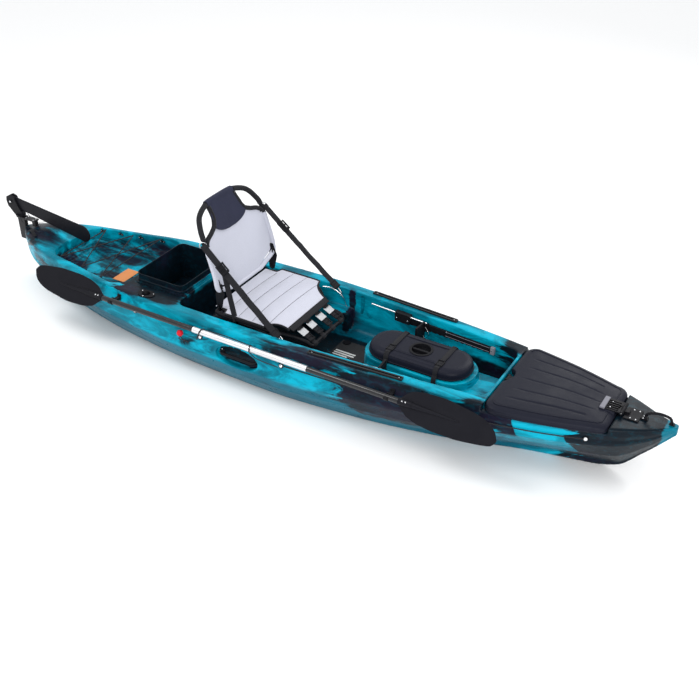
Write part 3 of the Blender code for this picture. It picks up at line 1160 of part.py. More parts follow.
def build_paddle():
    middle = Vector((PADDLE_X, PADDLE_Y, PADDLE_Z))
    grip = Vector((TUBE_X, PADDLE_Y, PADDLE_Z))
    reach = Vector((TUBE_LENGTH / 2, 0, 0))
    root = PADDLE_LENGTH / 2 - BLADE_LENGTH
    inner = TUBE_RADIUS - TUBE_WALL
    centre = rod(grip - reach, grip + reach, TUBE_RADIUS, 24)
    cut(centre, rod(grip - 2 * reach, grip + 2 * reach, inner, 24))
    part(centre, "paddle_centre_tube", ALUMINIUM, 35)
    for way, label in ((-1, "aft"), (1, "forward")):
        run = Vector((way, 0, 0))
        joint = grip + way * reach
        shaft = rod(joint + run * SEAT_GAP, middle + run * (root + SHAFT_IN_BLADE), SHAFT_RADIUS, 24)
        fuse(shaft, rod(joint - run * FERRULE_LENGTH, joint + run * 0.01, inner - SEAT_GAP, 24))
        part(shaft, "paddle_shaft_" + label, BLACK, 35)
        turn = Matrix.Rotation(0 if way > 0 else math.pi, 4, "Z")
        lay = Matrix.Translation(middle) @ Matrix.Rotation(BLADE_TILT, 4, "X") @ turn
        blade = plate(blade_outline(root), -BLADE_THICKNESS / 2, BLADE_THICKNESS / 2, lay)
        neck = rod(middle + run * root, middle + run * (root + 0.070), SHAFT_RADIUS + 0.003, 24)
        spine = rod(middle + run * (root + 0.055), middle + run * (root + 0.31), SHAFT_RADIUS + 0.0021, 20, 0.004)
        fuse(blade, neck, spine)
        cut(blade, rod(middle + run * (root - 0.01), middle + run * (root + SHAFT_IN_BLADE + SEAT_GAP),
                       SHAFT_RADIUS + SEAT_GAP, 24))
        part(blade, "paddle_blade_" + label, BLACK, 35)
    for x, label in ((CLIP_AFT_X, "aft"), (CLIP_FORWARD_X, "forward")):
        def face(z):
            return max(side_half(x - CLIP_WIDTH / 2, z), side_half(x + CLIP_WIDTH / 2, z)) + SEAT_GAP
        inner = SHAFT_RADIUS + RUN_GAP
        outer = inner + 0.004
        y0, z0 = -PADDLE_Y, PADDLE_Z
        arc = [math.radians(a) for a in range(180, 361, 20)]
        outline = [(y0 + inner * math.cos(a), z0 + inner * math.sin(a)) for a in arc]
        outline += [(y0 + inner, z0 + 0.010), (y0 + outer, z0 + 0.012)]
        outline += [(y0 + outer * math.cos(a), z0 + outer * math.sin(a)) for a in arc[:3:-1]]
        low = z0 - 0.024
        outline += [(face(low) + 0.004, low + 0.006), (face(low) + 0.003, low), (face(low), low),
                    (face(z0 + 0.008), z0 + 0.008), (face(z0) + 0.004, z0 + 0.008), (face(z0) + 0.006, z0 - 0.002),
                    (y0 - outer, z0 - 0.002), (y0 - outer, z0 + 0.012), (y0 - inner, z0 + 0.010)]
        lay = Matrix(((0, 0, 1), (-1, 0, 0), (0, 1, 0))).to_4x4()
        part(plate(outline, x - CLIP_WIDTH / 2, x + CLIP_WIDTH / 2, lay), "paddle_clip_" + label, BLACK)
    part(ball((TUBE_X - 0.431, PADDLE_Y - 0.008, 0.250), 0.0175), "keeper_ball", RED, 60)


def build_rudder():
    steer_x = STERN - RUDDER_STEER_AFT
    pivot_x, pivot_z = STERN - RUDDER_PIVOT_AFT, RUDDER_PIVOT_Z
    shelf = pivot_z - 0.095
    face = STERN - SEAT_GAP
    bracket = box((STERN - 0.055, -0.020, shelf), (STERN + 0.090, 0.020, shelf + 0.008))
    foot_x = STERN + 0.062
    deck = gunwale_height(foot_x + 0.026) + deck_crown(foot_x + 0.026) + SEAT_GAP
    fuse(bracket, box((STERN - 0.055, -0.012, 0.210), (face, 0.012, shelf + 0.002)),
         box((foot_x, -0.012, deck), (foot_x + 0.026, 0.012, shelf + 0.002)),
         rod((steer_x, 0, shelf + 0.004), (steer_x, 0, shelf + 0.036), 0.006))
    part(bracket, "rudder_bracket", ALUMINIUM, 35)

    base = shelf + 0.008 + RUN_GAP
    outline = [(STERN - 0.062, base), (STERN - 0.012, base), (STERN - 0.008, base + 0.030), (STERN - 0.030, base + 0.060),
               (pivot_x + 0.030, pivot_z + 0.034), (pivot_x, pivot_z + 0.042), (pivot_x - 0.030, pivot_z + 0.026),
               (pivot_x - 0.036, pivot_z), (pivot_x - 0.028, pivot_z - 0.034)]
    upright = Matrix(((1, 0, 0), (0, 0, 1), (0, 1, 0))).to_4x4()
    gap = RUDDER_THICKNESS / 2 + RUN_GAP
    head = plate(outline, -0.016, 0.016, upright)
    fuse(head, rod((steer_x, 0, base + 0.004), (steer_x, 0, base + 0.010), STEER_RADIUS, 32))
    cut(head, box((pivot_x - 0.1, -gap, base + 0.032), (STERN + 0.05, gap, 1)),
        box((pivot_x - 0.1, -gap, 0), (pivot_x + 0.024, gap, 1)),
        rod((steer_x, 0, 0), (steer_x, 0, shelf + 0.036 + RUN_GAP), 0.006 + RUN_GAP))
    fuse(head, rod((pivot_x, -0.020, pivot_z), (pivot_x, 0.020, pivot_z), 0.005),
         rod((pivot_x, -0.021, pivot_z), (pivot_x, -0.015, pivot_z), 0.010),
         rod((pivot_x, 0.015, pivot_z), (pivot_x, 0.021, pivot_z), 0.010))
    part(head, "rudder_head", BLACK, 35, (steer_x, 0, base))

    root, tip, length = RUDDER_ROOT_HALF, RUDDER_TIP_HALF, RUDDER_LENGTH
    edge = []
    for i in range(7):
        a = math.pi / 2 + math.pi * i / 12
        edge.append((root * math.cos(a), root * math.sin(a)))
    edge = edge[::-1]
    for i in range(1, 9):
        s = i / 8
        edge.append((s * (length - tip), root + (tip - root) * s))
    for i in range(1, 7):
        a = math.pi / 2 - math.pi * i / 12
        edge.append((length - tip + tip * math.cos(a), tip * math.sin(a)))
    ring = edge + [(u, -v) for u, v in edge[-2:0:-1]]
    layers = []
    for y, inset in ((-RUDDER_THICKNESS / 2, 0.008), (-RUDDER_THICKNESS / 4, 0.001), (RUDDER_THICKNESS / 4, 0.001),
                     (RUDDER_THICKNESS / 2, 0.008)):
        rows = []
        for u, v in ring:
            scale = 1 - inset / math.hypot(u - 0.3 * length, v)
            u, v = 0.3 * length + (u - 0.3 * length) * scale, v * (1 - inset / tip)
            c, s = math.cos(RUDDER_DROOP), math.sin(RUDDER_DROOP)
            rows.append((pivot_x + u * c + v * s, y, pivot_z - u * s + v * c))
        layers.append(rows)
    blade = skin(layers)
    cut(blade, rod((pivot_x, -1, pivot_z), (pivot_x, 1, pivot_z), 0.005 + RUN_GAP / 2))
    part(blade, "rudder_blade", LID_GREY, 35, (pivot_x, 0, pivot_z))

    for side, label in ((1, "port"), (-1, "starboard")):
        rim = STEER_RADIUS + 0.0015 + SEAT_GAP
        knots = [(steer_x - 0.002, side * rim, base + 0.007), (steer_x + 0.020, side * rim, base + 0.007)]
        for x, y in ((STERN + 0.024, 0.034), (STERN + 0.070, 0.040), (STERN + 0.120, 0.058), (STERN + 0.180, 0.080)):
            lift = 0.005 + 0.012 * max(0, 1 - (x - STERN) / 0.1)
            knots.append((x, side * y, gunwale_height(x) + deck_crown(x) + lift))
        cable = curve_points(knots, 3)
        part(tube(cable, 0.0015, 6), "rudder_cable_" + label, CORD)


def build_cords():
    low = TANK_FLOOR + 0.095
    path = []
    for lift, order in ((0, BUNGEE_STATIONS), (0.009, BUNGEE_STATIONS[::-1])):
        for i, station in enumerate(order):
            x = STERN + station
            side = 1 if (i + (lift > 0)) % 2 else -1
            path.append((x + (0.012 if lift else 0), side * (tank_half(x) - 0.0058), low + lift))
    part(tube(path, CORD_RADIUS, 8, True), "well_bungee", CORD)

    for side, label in ((-1, "starboard"), (1, "port")):
        aft, forward, count = 0.140, BOW - 0.355, 15
        path = []
        for i in range(count):
            x = aft + (forward - aft) * i / (count - 1)
            z = 0.256 + 0.006 * i / (count - 1)
            path.append((x, side * (side_half(x, z) + CORD_RADIUS + 0.0006), z))
        part(tube(path, CORD_RADIUS, 6), "deck_line_" + label, CORD)

    x, y, z = TUBE_X, PADDLE_Y, PADDLE_Z
    over = TUBE_RADIUS + 0.0036
    turn = [math.radians(a) for a in range(195, 14, -30)]
    up = [(x - 0.300 + 0.003 * i, y + over * math.cos(a), z + over * math.sin(a)) for i, a in enumerate(turn)]
    down = [(x + 0.003 * i, y + over * math.cos(a), z + over * math.sin(a)) for i, a in enumerate(turn[::-1])]
    ends = [(x - 0.315, y - 0.016, z - 0.042), (x + 0.070, y - 0.024, z - 0.026), (x + 0.186, y - 0.018, z - 0.036)]
    leash = [ends[0]] + up + [(x - 0.15, y + 0.017, z + 0.014)] + down + ends[1:]
    part(tube(curve_points(leash, 2), 0.0025, 6), "paddle_leash", CORD)
    bx, by = TUBE_X - 0.431, PADDLE_Y - 0.008
    eye = -(side_half(bx, 0.205) + 0.0028)
    keeper = [(bx - 0.004, eye, 0.205), (bx - 0.006, by - 0.006, 0.217), (bx, by, 0.2297),
              (bx + 0.020, by - 0.004, 0.217), (bx + 0.045, eye, 0.205)]
    part(tube(curve_points(keeper, 4), 0.0025, 6), "keeper_cord", CORD)


def make_all():
    build_hull()
    build_bow_hatch()
    build_handles()
    build_bin()
    build_console()
    build_tracks()
    build_foot_braces()
    build_rod_holders()
    build_seat()
    build_paddle()
    build_rudder()
    build_cords()


make_all()
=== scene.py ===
"""Looks of the fishing kayak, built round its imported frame. Run as a script in Blender."""

import json
import math

import bmesh
import bpy
from bpy.props import FloatProperty, FloatVectorProperty, IntProperty, PointerProperty
from mathutils import Matrix, Vector

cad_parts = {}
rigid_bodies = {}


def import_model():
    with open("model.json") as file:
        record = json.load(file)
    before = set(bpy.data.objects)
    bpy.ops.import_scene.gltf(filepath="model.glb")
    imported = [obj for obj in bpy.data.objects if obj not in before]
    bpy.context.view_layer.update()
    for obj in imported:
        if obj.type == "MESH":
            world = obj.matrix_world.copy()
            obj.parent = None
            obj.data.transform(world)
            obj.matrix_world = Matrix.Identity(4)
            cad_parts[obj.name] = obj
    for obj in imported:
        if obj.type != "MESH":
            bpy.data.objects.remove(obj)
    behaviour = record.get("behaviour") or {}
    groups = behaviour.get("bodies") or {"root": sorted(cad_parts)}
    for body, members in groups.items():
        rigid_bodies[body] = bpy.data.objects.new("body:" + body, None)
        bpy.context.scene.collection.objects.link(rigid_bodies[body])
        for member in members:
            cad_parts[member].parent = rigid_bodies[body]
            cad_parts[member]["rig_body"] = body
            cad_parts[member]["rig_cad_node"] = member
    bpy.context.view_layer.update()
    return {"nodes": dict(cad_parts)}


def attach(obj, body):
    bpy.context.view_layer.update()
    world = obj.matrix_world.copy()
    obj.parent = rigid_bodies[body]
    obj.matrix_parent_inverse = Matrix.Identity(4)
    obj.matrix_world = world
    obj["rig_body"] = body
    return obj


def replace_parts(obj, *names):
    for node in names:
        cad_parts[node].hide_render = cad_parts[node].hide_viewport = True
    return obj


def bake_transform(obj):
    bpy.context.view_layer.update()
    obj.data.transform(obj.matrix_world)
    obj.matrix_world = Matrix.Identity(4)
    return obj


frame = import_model()
NODES = frame["nodes"]

bl_info = {
    "name": "Fishing Kayak Looks",
    "version": (1, 0, 0),
    "blender": (4, 5, 0),
    "location": "3D View > Sidebar > Kayak",
    "description": "Dresses the packed fishing kayak in moulded plastic, cloth, webbing and cord",
    "category": "Add Mesh",
}

# Lines plan of the hull, as the part's source gives it: shares of length, half beam and depth.
LENGTH, BEAM, DEPTH = 3.95, 0.84, 0.335
STERN, BOW = -LENGTH / 2, LENGTH / 2
STATIONS = (0, 0.014, 0.04, 0.09, 0.16, 0.26, 0.38, 0.50, 0.62, 0.74, 0.85, 0.91, 0.94, 0.97, 1)
GUNWALE_HALF = (0.04, 0.165, 0.31, 0.485, 0.62, 0.785, 0.85, 0.862, 0.812, 0.722, 0.575, 0.435, 0.335,
                0.19, 0.03)
GUNWALE_HEIGHT = (0.90, 0.905, 0.91, 0.918, 0.932, 0.96, 0.985, 1, 1, 0.99, 0.98, 0.98, 0.98, 0.985, 1.03)
CHINE_HALF = (0.04, 0.16, 0.315, 0.505, 0.69, 0.875, 0.985, 1, 0.95, 0.83, 0.62, 0.44, 0.335, 0.185, 0.029)
CHINE_HEIGHT = (0.64, 0.60, 0.56, 0.525, 0.51, 0.50, 0.495, 0.505, 0.615, 0.68, 0.715, 0.732, 0.75,
                0.80, 0.99)
BILGE_HALF = (0.03, 0.06, 0.16, 0.33, 0.52, 0.715, 0.83, 0.862, 0.77, 0.55, 0.21, 0.085, 0.045, 0.032, 0.027)
BILGE_HEIGHT = (0.50, 0.33, 0.22, 0.165, 0.145, 0.14, 0.145, 0.15, 0.15, 0.148, 0.14, 0.135, 0.17, 0.50, 0.95)
KEEL_HEIGHT = (0.44, 0.27, 0.115, 0.012, 0, 0, 0, 0, 0, 0, 0, 0.02, 0.10, 0.46, 0.90)

# The hull's wells, holes and fittings. COCKPIT, TANK, BIN, CONSOLE, HATCH and SEAT_LEDGE are aft and forward
# ends, GRIP is x and a height, ROD_PLACE is x and y, and a CORNER is the radius of a corner seen from above.
WALL = 0.0045
COCKPIT = (-0.605, 1.145)
COCKPIT_CORNER = 0.060
COCKPIT_FLOOR = 0.110
SEAT_LEDGE = (-0.540, 0.150)
SEAT_LEDGE_INNER = 0.215
SEAT_LEDGE_TOP = 0.225
TANK = (-1.605, -0.980)
TANK_CORNER = 0.090
TANK_FLOOR = 0.205
TANK_LEDGE = 0.228
BIN = (-0.945, -0.625)
BIN_HALF = 0.200
BIN_CORNER = 0.035
BIN_BOTTOM = 0.156
BIN_LIP = 0.016
CONSOLE_X = 0.705
CONSOLE = (0.4325, 0.9775)
CONSOLE_HALF = 0.118
CONSOLE_CORNER = CONSOLE_HALF - 0.008
PEDESTAL_TOP = 0.262
POD_DEPTH = 0.110
POD_INSET = 0.024
HATCH = (1.160, 1.705)
HATCH_CORNER = 0.060
LID_WALL = 0.0085
LID_RISE = 0.036
LID_CROWN = 0.010
HINGE_PIN_X = HATCH[1] + 0.022
WELL_GAP = 0.003
REST_GAP = 0.0003
CONSOLE_BASE = PEDESTAL_TOP + REST_GAP + 0.004 + REST_GAP
CONSOLE_TOP = CONSOLE_BASE + 0.050
ABOVE = DEPTH + 0.15
GRIP = (-0.132, 0.207)
GRIP_DEPTH = 0.042
GRIP_HALF_LENGTH, GRIP_HALF_HEIGHT = 0.131, 0.050
ROD_PLACE = (-0.797, 0.290)
ROD_TILT = math.radians(28)
ROD_HOLE = 0.0255
TRACK_INSET = 0.027
SIDES = ((1, "port"), (-1, "starboard"))
SCUPPER_RADIUS = 0.015
SCUPPERS = ((0.20, 0.130), (0.20, -0.130), (-1.12, 0.150), (-1.12, -0.150))
RUDDER_PIVOT_HEIGHT = 0.445
BRACKET_TOP = RUDDER_PIVOT_HEIGHT - 0.095 + 0.008


def cubic(stations, values, t):
    """Value at t of the monotone cubic through the stations."""
    i = max(j for j, s in enumerate(stations[:-1]) if s <= max(t, 0))
    steps = [b - a for a, b in zip(stations, stations[1:])]
    slopes = [(b - a) / h for a, b, h in zip(values, values[1:], steps)]

    def tangent(j):
        if j in (0, len(values) - 1):
            return slopes[min(j, len(slopes) - 1)]
        if slopes[j - 1] * slopes[j] <= 0:
            return 0
        return 2 * slopes[j - 1] * slopes[j] / (slopes[j - 1] + slopes[j])

    s = (min(t, 1) - stations[i]) / steps[i]
    return (values[i] * (2 * s**3 - 3 * s**2 + 1) + tangent(i) * (s**3 - 2 * s**2 + s) * steps[i]
            + values[i + 1] * (3 * s**2 - 2 * s**3) + tangent(i + 1) * (s**3 - s**2) * steps[i])


def line(values, x):
    return cubic(STATIONS, values, (x - STERN) / LENGTH)


def gunwale_half(x):
    return 0.5 * BEAM * line(GUNWALE_HALF, x)


def gunwale_height(x):
    return DEPTH * line(GUNWALE_HEIGHT, x)


def chine_half(x):
    return 0.5 * BEAM * line(CHINE_HALF, x)


def chine_height(x):
    return DEPTH * line(CHINE_HEIGHT, x)


def deck_crown(x):
    d = (x - STERN) / (TANK[0] - STERN)
    return 0.030 * math.sin(math.pi * d) ** 2 if 0 < d < 1 else 0.0


def edge_round(x):
    return 0.010 * min(1, gunwale_half(x) / 0.08)


def side_half(x, z):
    """Half breadth of the topside at a height between chine and gunwale."""
    s = (z - chine_height(x)) / (gunwale_height(x) - chine_height(x))
    return chine_half(x) + s * (gunwale_half(x) - chine_half(x)) + 1.6 * edge_round(x) * s * (1 - s)


def hull_ring(x, inset=0.0):
    """Cross section of the hull at a station, or of its inner face when inset by the wall."""
    g, gz = gunwale_half(x) - inset, gunwale_height(x) - inset
    c, cz = chine_half(x) - 1.1 * inset, chine_height(x)
    k = DEPTH * line(KEEL_HEIGHT, x) + inset
    bilge = 0.5 * BEAM * line(BILGE_HALF, x)
    b = max(bilge - inset, 0.3 * bilge)
    bz = DEPTH * line(BILGE_HEIGHT, x) + 0.5 * inset
    groove = 0.014 * min(1, max(0, (b - 0.1) / 0.15))
    r, h, crown = edge_round(x), gz - cz, deck_crown(x)
    half = [
        (0, k), (0.14 * b, k), (0.27 * b, k + groove), (0.42 * b, k + groove), (0.55 * b, k), (0.80 * b, k),
        (0.93 * b, k + 0.28 * (bz - k)), (b, bz), (b + 0.55 * (c - b), bz + 0.42 * (cz - bz)),
        (c - 0.3 * r, cz - 0.10 * (cz - bz)), (c, cz), (c - 0.4 * r, cz + 0.10 * h),
        (c + 0.5 * (g - c) + 0.4 * r, cz + 0.5 * h), (g + 0.4 * r, gz - 0.14 * h), (g, gz - 0.06 * h),
        (g - r, gz), (0.62 * g, gz + 0.6 * crown), (0.3 * g, gz + 0.92 * crown), (0, gz + crown)]
    return [(x, -y, z) for y, z in half] + [(x, y, z) for y, z in half[-2:0:-1]]


def hatch_shelf():
    return min(gunwale_height(HATCH[0]), gunwale_height(HATCH[1])) - 0.028


def bin_seat():
    return gunwale_height(BIN[0] - BIN_LIP) - 0.001


def rim_half(x):
    return gunwale_half(x) - 0.062


def tank_half(x):
    return gunwale_half(x) - 0.030


def hatch_half(x):
    return side_half(x, hatch_shelf()) + 0.004


def console_half(x):
    """Half breadth of the console, the same along its straight sides."""
    return CONSOLE_HALF


def bin_half(x):
    return BIN_HALF


def clear_rows(low, high, count):
    """Evenly spaced numbers from low to high."""
    return [low + (high - low) * i / (count - 1) for i in range(count)]


def link(name, mesh):
    """A new object in the scene."""
    obj = bpy.data.objects.new(name, mesh)
    bpy.context.scene.collection.objects.link(obj)
    return obj


def from_bmesh(bm, name="shape"):
    """A mesh object from a bmesh, welded, with its faces outward."""
    bmesh.ops.remove_doubles(bm, verts=bm.verts, dist=1e-6)
    bmesh.ops.recalc_face_normals(bm, faces=bm.faces)
    mesh = bpy.data.meshes.new(name)
    bm.to_mesh(mesh)
    bm.free()
    return link(name, mesh)


def shaded(obj, angle):
    """Shade an object smooth, but for edges sharper than an angle in degrees."""
    obj.data.shade_smooth()
    obj.data.set_sharp_from_angle(angle=math.radians(angle))
    return obj


def settle(obj):
    """Work out an object's modifiers and its place, and keep the result as its plain mesh."""
    bpy.context.view_layer.update()
    seen = obj.evaluated_get(bpy.context.evaluated_depsgraph_get())
    mesh = bpy.data.meshes.new_from_object(seen)
    mesh.transform(obj.matrix_world)
    if obj.type == "MESH":
        obj.modifiers.clear()
        obj.data = mesh
        obj.matrix_world = Matrix.Identity(4)
        return obj
    name = obj.name
    bpy.data.objects.remove(obj)
    return link(name, mesh)


def skin(rings, closed=True):
    """A closed body lofted through rings of points."""
    bm = bmesh.new()
    rows = [[bm.verts.new(p) for p in ring] for ring in rings]
    count = len(rows[0])
    for one, two in zip(rows, rows[1:]):
        for i in range(count if closed else count - 1):
            j = (i + 1) % count
            bm.faces.new((one[i], one[j], two[j], two[i]))
    if closed:
        bm.faces.new(rows[0])
        bm.faces.new(rows[-1][::-1])
    bmesh.ops.triangulate(bm, faces=bm.faces)
    return from_bmesh(bm)


def plan(ends, half, corner, inset=0.0, samples=24):
    """Outline seen from above, widest as half(x), with round corners, set in from its edge."""
    aft, forward = ends[0] + inset, ends[1] - inset
    corner = max(corner - inset, 0.006)
    side = []
    for i in range(samples):
        x = aft + corner + (forward - aft - 2 * corner) * i / (samples - 1)
        side.append((x, half(x) - inset))
    front, back = [], []
    for degrees in range(81, -1, -9):
        c, s = math.cos(math.radians(degrees)), math.sin(math.radians(degrees))
        front.append((forward - corner + corner * c, side[-1][1] - corner + corner * s))
        back.append((aft + corner - corner * c, side[0][1] - corner + corner * s))
    edge = back[::-1] + side + front
    return [(x, -y) for x, y in edge] + edge[::-1]


def well(ends, half, corner, levels):
    """A body stacked from outlines: levels are (height, inset) from the top down."""
    return skin([[(x, y, z) for x, y in plan(ends, half, corner, inset)] for z, inset in levels])


def block(low, high):
    """A box between two corners."""
    low, high = Vector(low), Vector(high)
    bm = bmesh.new()
    bmesh.ops.create_cube(bm, size=1)
    bmesh.ops.scale(bm, vec=high - low, verts=bm.verts)
    bmesh.ops.translate(bm, vec=(low + high) / 2, verts=bm.verts)
    return from_bmesh(bm)


def rod(start, end, radius, sides=32, end_radius=None):
    """A cylinder or cone between two points."""
    start, end = Vector(start), Vector(end)
    bm = bmesh.new()
    bmesh.ops.create_cone(bm, cap_ends=True, segments=sides, radius1=radius,
                          radius2=radius if end_radius is None else end_radius, depth=(end - start).length)
    turn = (end - start).to_track_quat("Z", "Y").to_matrix().to_4x4()
    bmesh.ops.transform(bm, matrix=Matrix.Translation((start + end) / 2) @ turn, verts=bm.verts)
    return from_bmesh(bm)


def combine(obj, tools, operation):
    """Cut or add tools with exact booleans, and remove them."""
    for tool in tools:
        step = obj.modifiers.new("step", "BOOLEAN")
        step.operation = operation
        step.solver = "EXACT"
        step.object = tool
    settle(obj)
    for tool in tools:
        bpy.data.objects.remove(tool)
    return obj


def cut(obj, *tools):
    return combine(obj, tools, "DIFFERENCE")


def fuse(obj, *tools):
    return combine(obj, tools, "UNION")


def joined(name, shapes):
    """Several shapes as one object."""
    bm = bmesh.new()
    for shape in shapes:
        bm.from_mesh(shape.data)
        bpy.data.objects.remove(shape)
    mesh = bpy.data.meshes.new(name)
    bm.to_mesh(mesh)
    bm.free()
    return link(name, mesh)


def curve_points(knots, steps):
    """Points on a smooth curve through knots, with some steps between each pair."""
    knots = [Vector(k) for k in knots]
    ends = [2 * knots[0] - knots[1]] + knots + [2 * knots[-1] - knots[-2]]
    points = []
    for a, b, c, d in zip(ends, ends[1:], ends[2:], ends[3:]):
        for i in range(steps):
            s = i / steps
            points.append(0.5 * (2 * b + (c - a) * s + (2 * a - 5 * b + 4 * c - d) * s * s
                                 + (3 * b - a - 3 * c + d) * s**3))
    return points + [knots[-1]]


def tube(points, radius, sides=12, closed=False):
    """A round bar along points, with its place along and round it kept as its UV map."""
    curve = bpy.data.curves.new("tube", "CURVE")
    curve.dimensions = "3D"
    curve.bevel_depth = radius
    curve.bevel_resolution = (sides - 4) // 2
    curve.use_fill_caps = not closed
    spline = curve.splines.new("POLY")
    spline.points.add(len(points) - 1)
    for point, place in zip(spline.points, points):
        point.co = (*place, 1)
    spline.use_cyclic_u = closed
    made = settle(link("tube", curve))
    for polygon in made.data.polygons:
        polygon.use_smooth = True
    return made


def rounded(obj, width, angle=35, segments=2):
    """Round an object's edges, and shade it smooth between them."""
    bm = bmesh.new()
    bm.from_mesh(obj.data)
    bmesh.ops.remove_doubles(bm, verts=bm.verts, dist=1e-5)
    bmesh.ops.dissolve_limit(bm, angle_limit=math.radians(0.6), verts=bm.verts, edges=bm.edges)
    bm.to_mesh(obj.data)
    bm.free()
    if width:
        edge = obj.modifiers.new("edge", "BEVEL")
        edge.width = width
        edge.segments = segments
        edge.limit_method = "ANGLE"
        edge.angle_limit = math.radians(angle)
        edge.miter_outer = "MITER_ARC"
        edge.harden_normals = False
        settle(obj)
    shaded(obj, angle + 10)
    if width:
        obj.modifiers.new("shade", "WEIGHTED_NORMAL").keep_sharp = True
        settle(obj)
    return obj


class Socket:
    """A shader node's output that takes part in Python sums."""

    def __init__(self, finish, output):
        self.finish = finish
        self.output = output

    def sums(self, operation, *terms):
        return self.finish.node("ShaderNodeMath", {"operation": operation}, terms)

    def __add__(self, other):
        return self.sums("ADD", self, other)

    __radd__ = __add__

    def __sub__(self, other):
        return self.sums("SUBTRACT", self, other)

    def __rsub__(self, other):
        return self.sums("SUBTRACT", other, self)

    def __mul__(self, other):
        return self.sums("MULTIPLY", self, other)

    __rmul__ = __mul__

    def __truediv__(self, other):
        return self.sums("DIVIDE", self, other)

    def __abs__(self):
        return self.sums("ABSOLUTE", self)

    def largest(self, other):
        return self.sums("MAXIMUM", self, other)

    def floor(self):
        return self.sums("FLOOR", self)

    def wave(self, pitch):
        """0 to 1 and back once in each pitch."""
        return self.sums("PINGPONG", self, pitch / 2) * (2 / pitch)


class Finish:
    """One of the kayak's procedural materials."""

    def __init__(self, name, slot, roughness=0.5, metallic=0.0, **plain):
        self.slot = slot
        self.material = bpy.data.materials.new(name)
        self.material.use_nodes = True
        self.tree = self.material.node_tree
        self.shader = self.tree.nodes["Principled BSDF"]
        self.shader.inputs["Roughness"].default_value = roughness
        self.shader.inputs["Metallic"].default_value = metallic
        for key, value in plain.items():
            self.shader.inputs[key].default_value = value
        self.places = {}

    def node(self, kind, settings=None, values=(), output=0):
        """A new node with its settings and inputs, as the output of it that is wanted."""
        made = self.tree.nodes.new(kind)
        for key, value in (settings or {}).items():
            if key == "stops":
                ramp = made.color_ramp
                while len(ramp.elements) < len(value):
                    ramp.elements.new(0.5)
                for element, (where, colour) in zip(ramp.elements, value):
                    element.position = where
                    element.color = (*colour, 1)
            else:
                setattr(made, key, value)
        for key, value in values.items() if isinstance(values, dict) else enumerate(values):
            if isinstance(value, Socket):
                self.tree.links.new(value.output, made.inputs[key])
            else:
                made.inputs[key].default_value = value
        return Socket(self, made.outputs[output])

    def place(self, scale=(1, 1, 1), uv=False):
        """Where a point of the piece is, in metres, stretched by scale."""
        key = (tuple(scale), uv)
        if key not in self.places:
            found = self.node("ShaderNodeTexCoord", output="UV" if uv else "Object")
            if tuple(scale) != (1, 1, 1):
                found = self.node("ShaderNodeVectorMath", {"operation": "MULTIPLY"}, (found, tuple(scale)))
            self.places[key] = found
        return self.places[key]

    def axis(self, index, place=None):
        return self.node("ShaderNodeSeparateXYZ", values=(place or self.place(),), output=index)

    def noise(self, scale, detail=2.0, rough=0.5, place=None, warp=0.0):
        return self.node("ShaderNodeTexNoise", values={
            "Vector": place or self.place(), "Scale": scale, "Detail": detail, "Roughness": rough,
            "Distortion": warp})

    def step(self, value, low, high, first=0.0, last=1.0):
        """Rises smoothly from first to last as value goes from low to high."""
        return self.node("ShaderNodeMapRange", {"interpolation_type": "SMOOTHSTEP"},
                         (value, low, high, first, last))

    def near(self, value, middle, reach, fade):
        """1 where value is within reach of middle, fading to 0."""
        return self.step(abs(value - middle), reach, reach + fade, 1, 0)

    def mix(self, share, one, two):
        """Blend two colours; 6 and 7 are the mix node's colour inputs, and 2 its colour output."""
        one, two = [c if isinstance(c, Socket) else (*c, 1) for c in (one, two)]
        return self.node("ShaderNodeMix", {"data_type": "RGBA"}, {0: share, 6: one, 7: two}, 2)

    def colour(self, value):
        target = self.shader.inputs["Base Color"]
        if isinstance(value, Socket):
            self.tree.links.new(value.output, target)
        else:
            target.default_value = (*value, 1)

    def vary(self, name, value):
        self.tree.links.new(value.output, self.shader.inputs[name])

    def relief(self, height, distance, strength=1.0):
        """Raise the surface in light only, by height times distance in metres."""
        bump = self.node("ShaderNodeBump",
                         values={"Height": height, "Distance": distance, "Strength": strength})
        self.tree.links.new(bump.output, self.shader.inputs["Normal"])

    def put_on(self, obj):
        obj.data.materials.clear()
        obj.data.materials.append(self.material)
        "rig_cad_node" not in obj
        return obj


